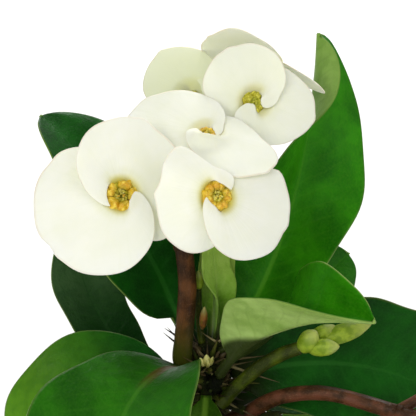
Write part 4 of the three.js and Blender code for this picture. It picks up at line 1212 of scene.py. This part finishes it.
def budShell(shells, bud, look, seed):
    # A bud wrapped in two bract folds, whose seam winds round it.
    at, along, length = Vector(bud["at"]), Vector(bud["axis"]).normalized(), bud["length"]
    count = 26
    points = [at + along * (i / count * length) for i in range(count + 1)]
    radii = [max(through(budGirth, i / count), 0.04) * bud["radius"] for i in range(count + 1)]

    def shape(angle, travelled):
        seam = cos(2 * (angle + seed) + travelled / length * 2.2)
        return 1 - 0.1 * bell(seam - 1, 0.05) + 0.06 * cos(2 * angle + seed) + 0.02 * cos(5 * angle)

    tube(shells, points, radii, 28, look, shape, shares=True)


def buildBuds(look):
    crownLook = budMaterial("crownBudSkin", colour(150, 146, 66), colour(206, 198, 124))
    for name, node, group, step, skin in (("bud_cluster", "buds", buds, 1.3, look),
                                          ("bud_in_crown", "bud_crown", crownBuds, 0.7, crownLook)):
        shells = Shells()
        for k, bud in enumerate(group):
            budShell(shells, bud, 0, k * step)
        shells.piece(name, node, [skin])
    shells = Shells()
    count = 24
    tube(shells, curve(shoot["path"], count), radiiAlong(shoot["radii"], count), 18, shape=dimple(3))
    budShell(shells, shootBud, 1, 0.9)
    budShell(shells, dryBract, 2, 0.2)
    skin = stalkMaterial("shootSkin", stalkTones["green"], stalkTones["greenDark"], colour(150, 150, 80))
    dry = budMaterial("dryBractSkin", colour(98, 54, 22), colour(146, 88, 42))
    shells.piece("young_shoot", "shoot", [skin, look, dry])


print("pot and soil")
buildPot()
buildSoil()
print("stem")
buildStem()
print("leaves")
for number, (name, leaf) in enumerate(leaves.items()):
    buildLeaf(name, leaf, number * 1.37)
print("stalks and buds")
brown = stalkMaterial("stalkBrown", stalkTones["brown"], stalkTones["dark"], stalkTones["speck"], 0.12, 0.9)
reddish = stalkMaterial("stalkRed", stalkTones["brown"], stalkTones["dark"], stalkTones["speck"], 0.6)
olive = stalkMaterial("stalkOlive", stalkTones["green"], stalkTones["greenDark"], colour(118, 120, 50))
buildStalk("stalk_tall", "stalk_main", mainStalk, brown)
buildStalk("stalk_leaning", "stalk_side", sideStalk, reddish)
buildStalk("stalk_budding", "stalk_bud", budStalk, olive)
buildBuds(budMaterial("budSkin", colour(114, 142, 22), colour(152, 175, 46)))
print("flowers")
looks = [eyeLooks(0), eyeLooks(0.75)]
for number, (name, head) in enumerate(heads.items()):
    buildBracts(name, head, number * 1.9)
    buildEye(name, head, number * 1.9 + 0.5, looks[head.get("green", 0) > 0.17])


# Studio

studio = {"floor": colour(246, 246, 244), "floorSize": 6, "world": 0.5,
          "target": (0, 0, 220), "distance": 420, "elevation": 22, "lens": 123.6,
          # Lamps: place in metres, power and size
          "lamps": {"key": ((-0.5, -1.2, 0.9), 8.6, 0.6), "fill": ((0.9, -0.7, 0.8), 3, 0.9),
                    "back": ((0.1, 1.6, 1.5), 30, 1.2)}}


def setUp(name, data, place, towards):
    made = bpy.data.objects.new(name, data)
    made.location = place
    made.rotation_mode = "QUATERNION"
    made.rotation_quaternion = towards.to_track_quat("-Z", "Y")
    bpy.context.scene.collection.objects.link(made)
    return made


def buildStudio():
    scene, size = bpy.context.scene, studio["floorSize"]
    mesh = bpy.data.meshes.new("floor")
    corners = [(x * size, y * size, 0) for x, y in ((-1, -1), (1, -1), (1, 1), (-1, 1))]
    mesh.from_pydata(corners, [], [[0, 1, 2, 3]])
    floor = bpy.data.objects.new("floor", mesh)
    scene.collection.objects.link(floor)
    look = newMaterial("floorPaint", 0.9, 0.1)
    shader(look)["Base Color"].default_value = studio["floor"]
    mesh.materials.append(look)
    for name, (place, power, wide) in studio["lamps"].items():
        data = bpy.data.lights.new(name, "AREA")
        data.energy, data.size = power, wide
        setUp(name, data, place, Vector((0, 0, 0.2)) - Vector(place))
    scene.world = bpy.data.worlds.new("studio")
    scene.world.use_nodes = True
    air = scene.world.node_tree.nodes["Background"].inputs
    air["Color"].default_value, air["Strength"].default_value = (1, 1, 1, 1), studio["world"]
    scene.view_settings.view_transform = "Standard"
    camera = bpy.data.cameras.new("camera")
    camera.lens, camera.sensor_width = studio["lens"], 36
    camera.clip_start, camera.clip_end = 0.01, 20
    towards = heading(90, -studio["elevation"])
    place = Vector(studio["target"]) * mm - towards * (studio["distance"] * mm)
    scene.camera = setUp("camera", camera, place, towards)


print("studio")
buildStudio()
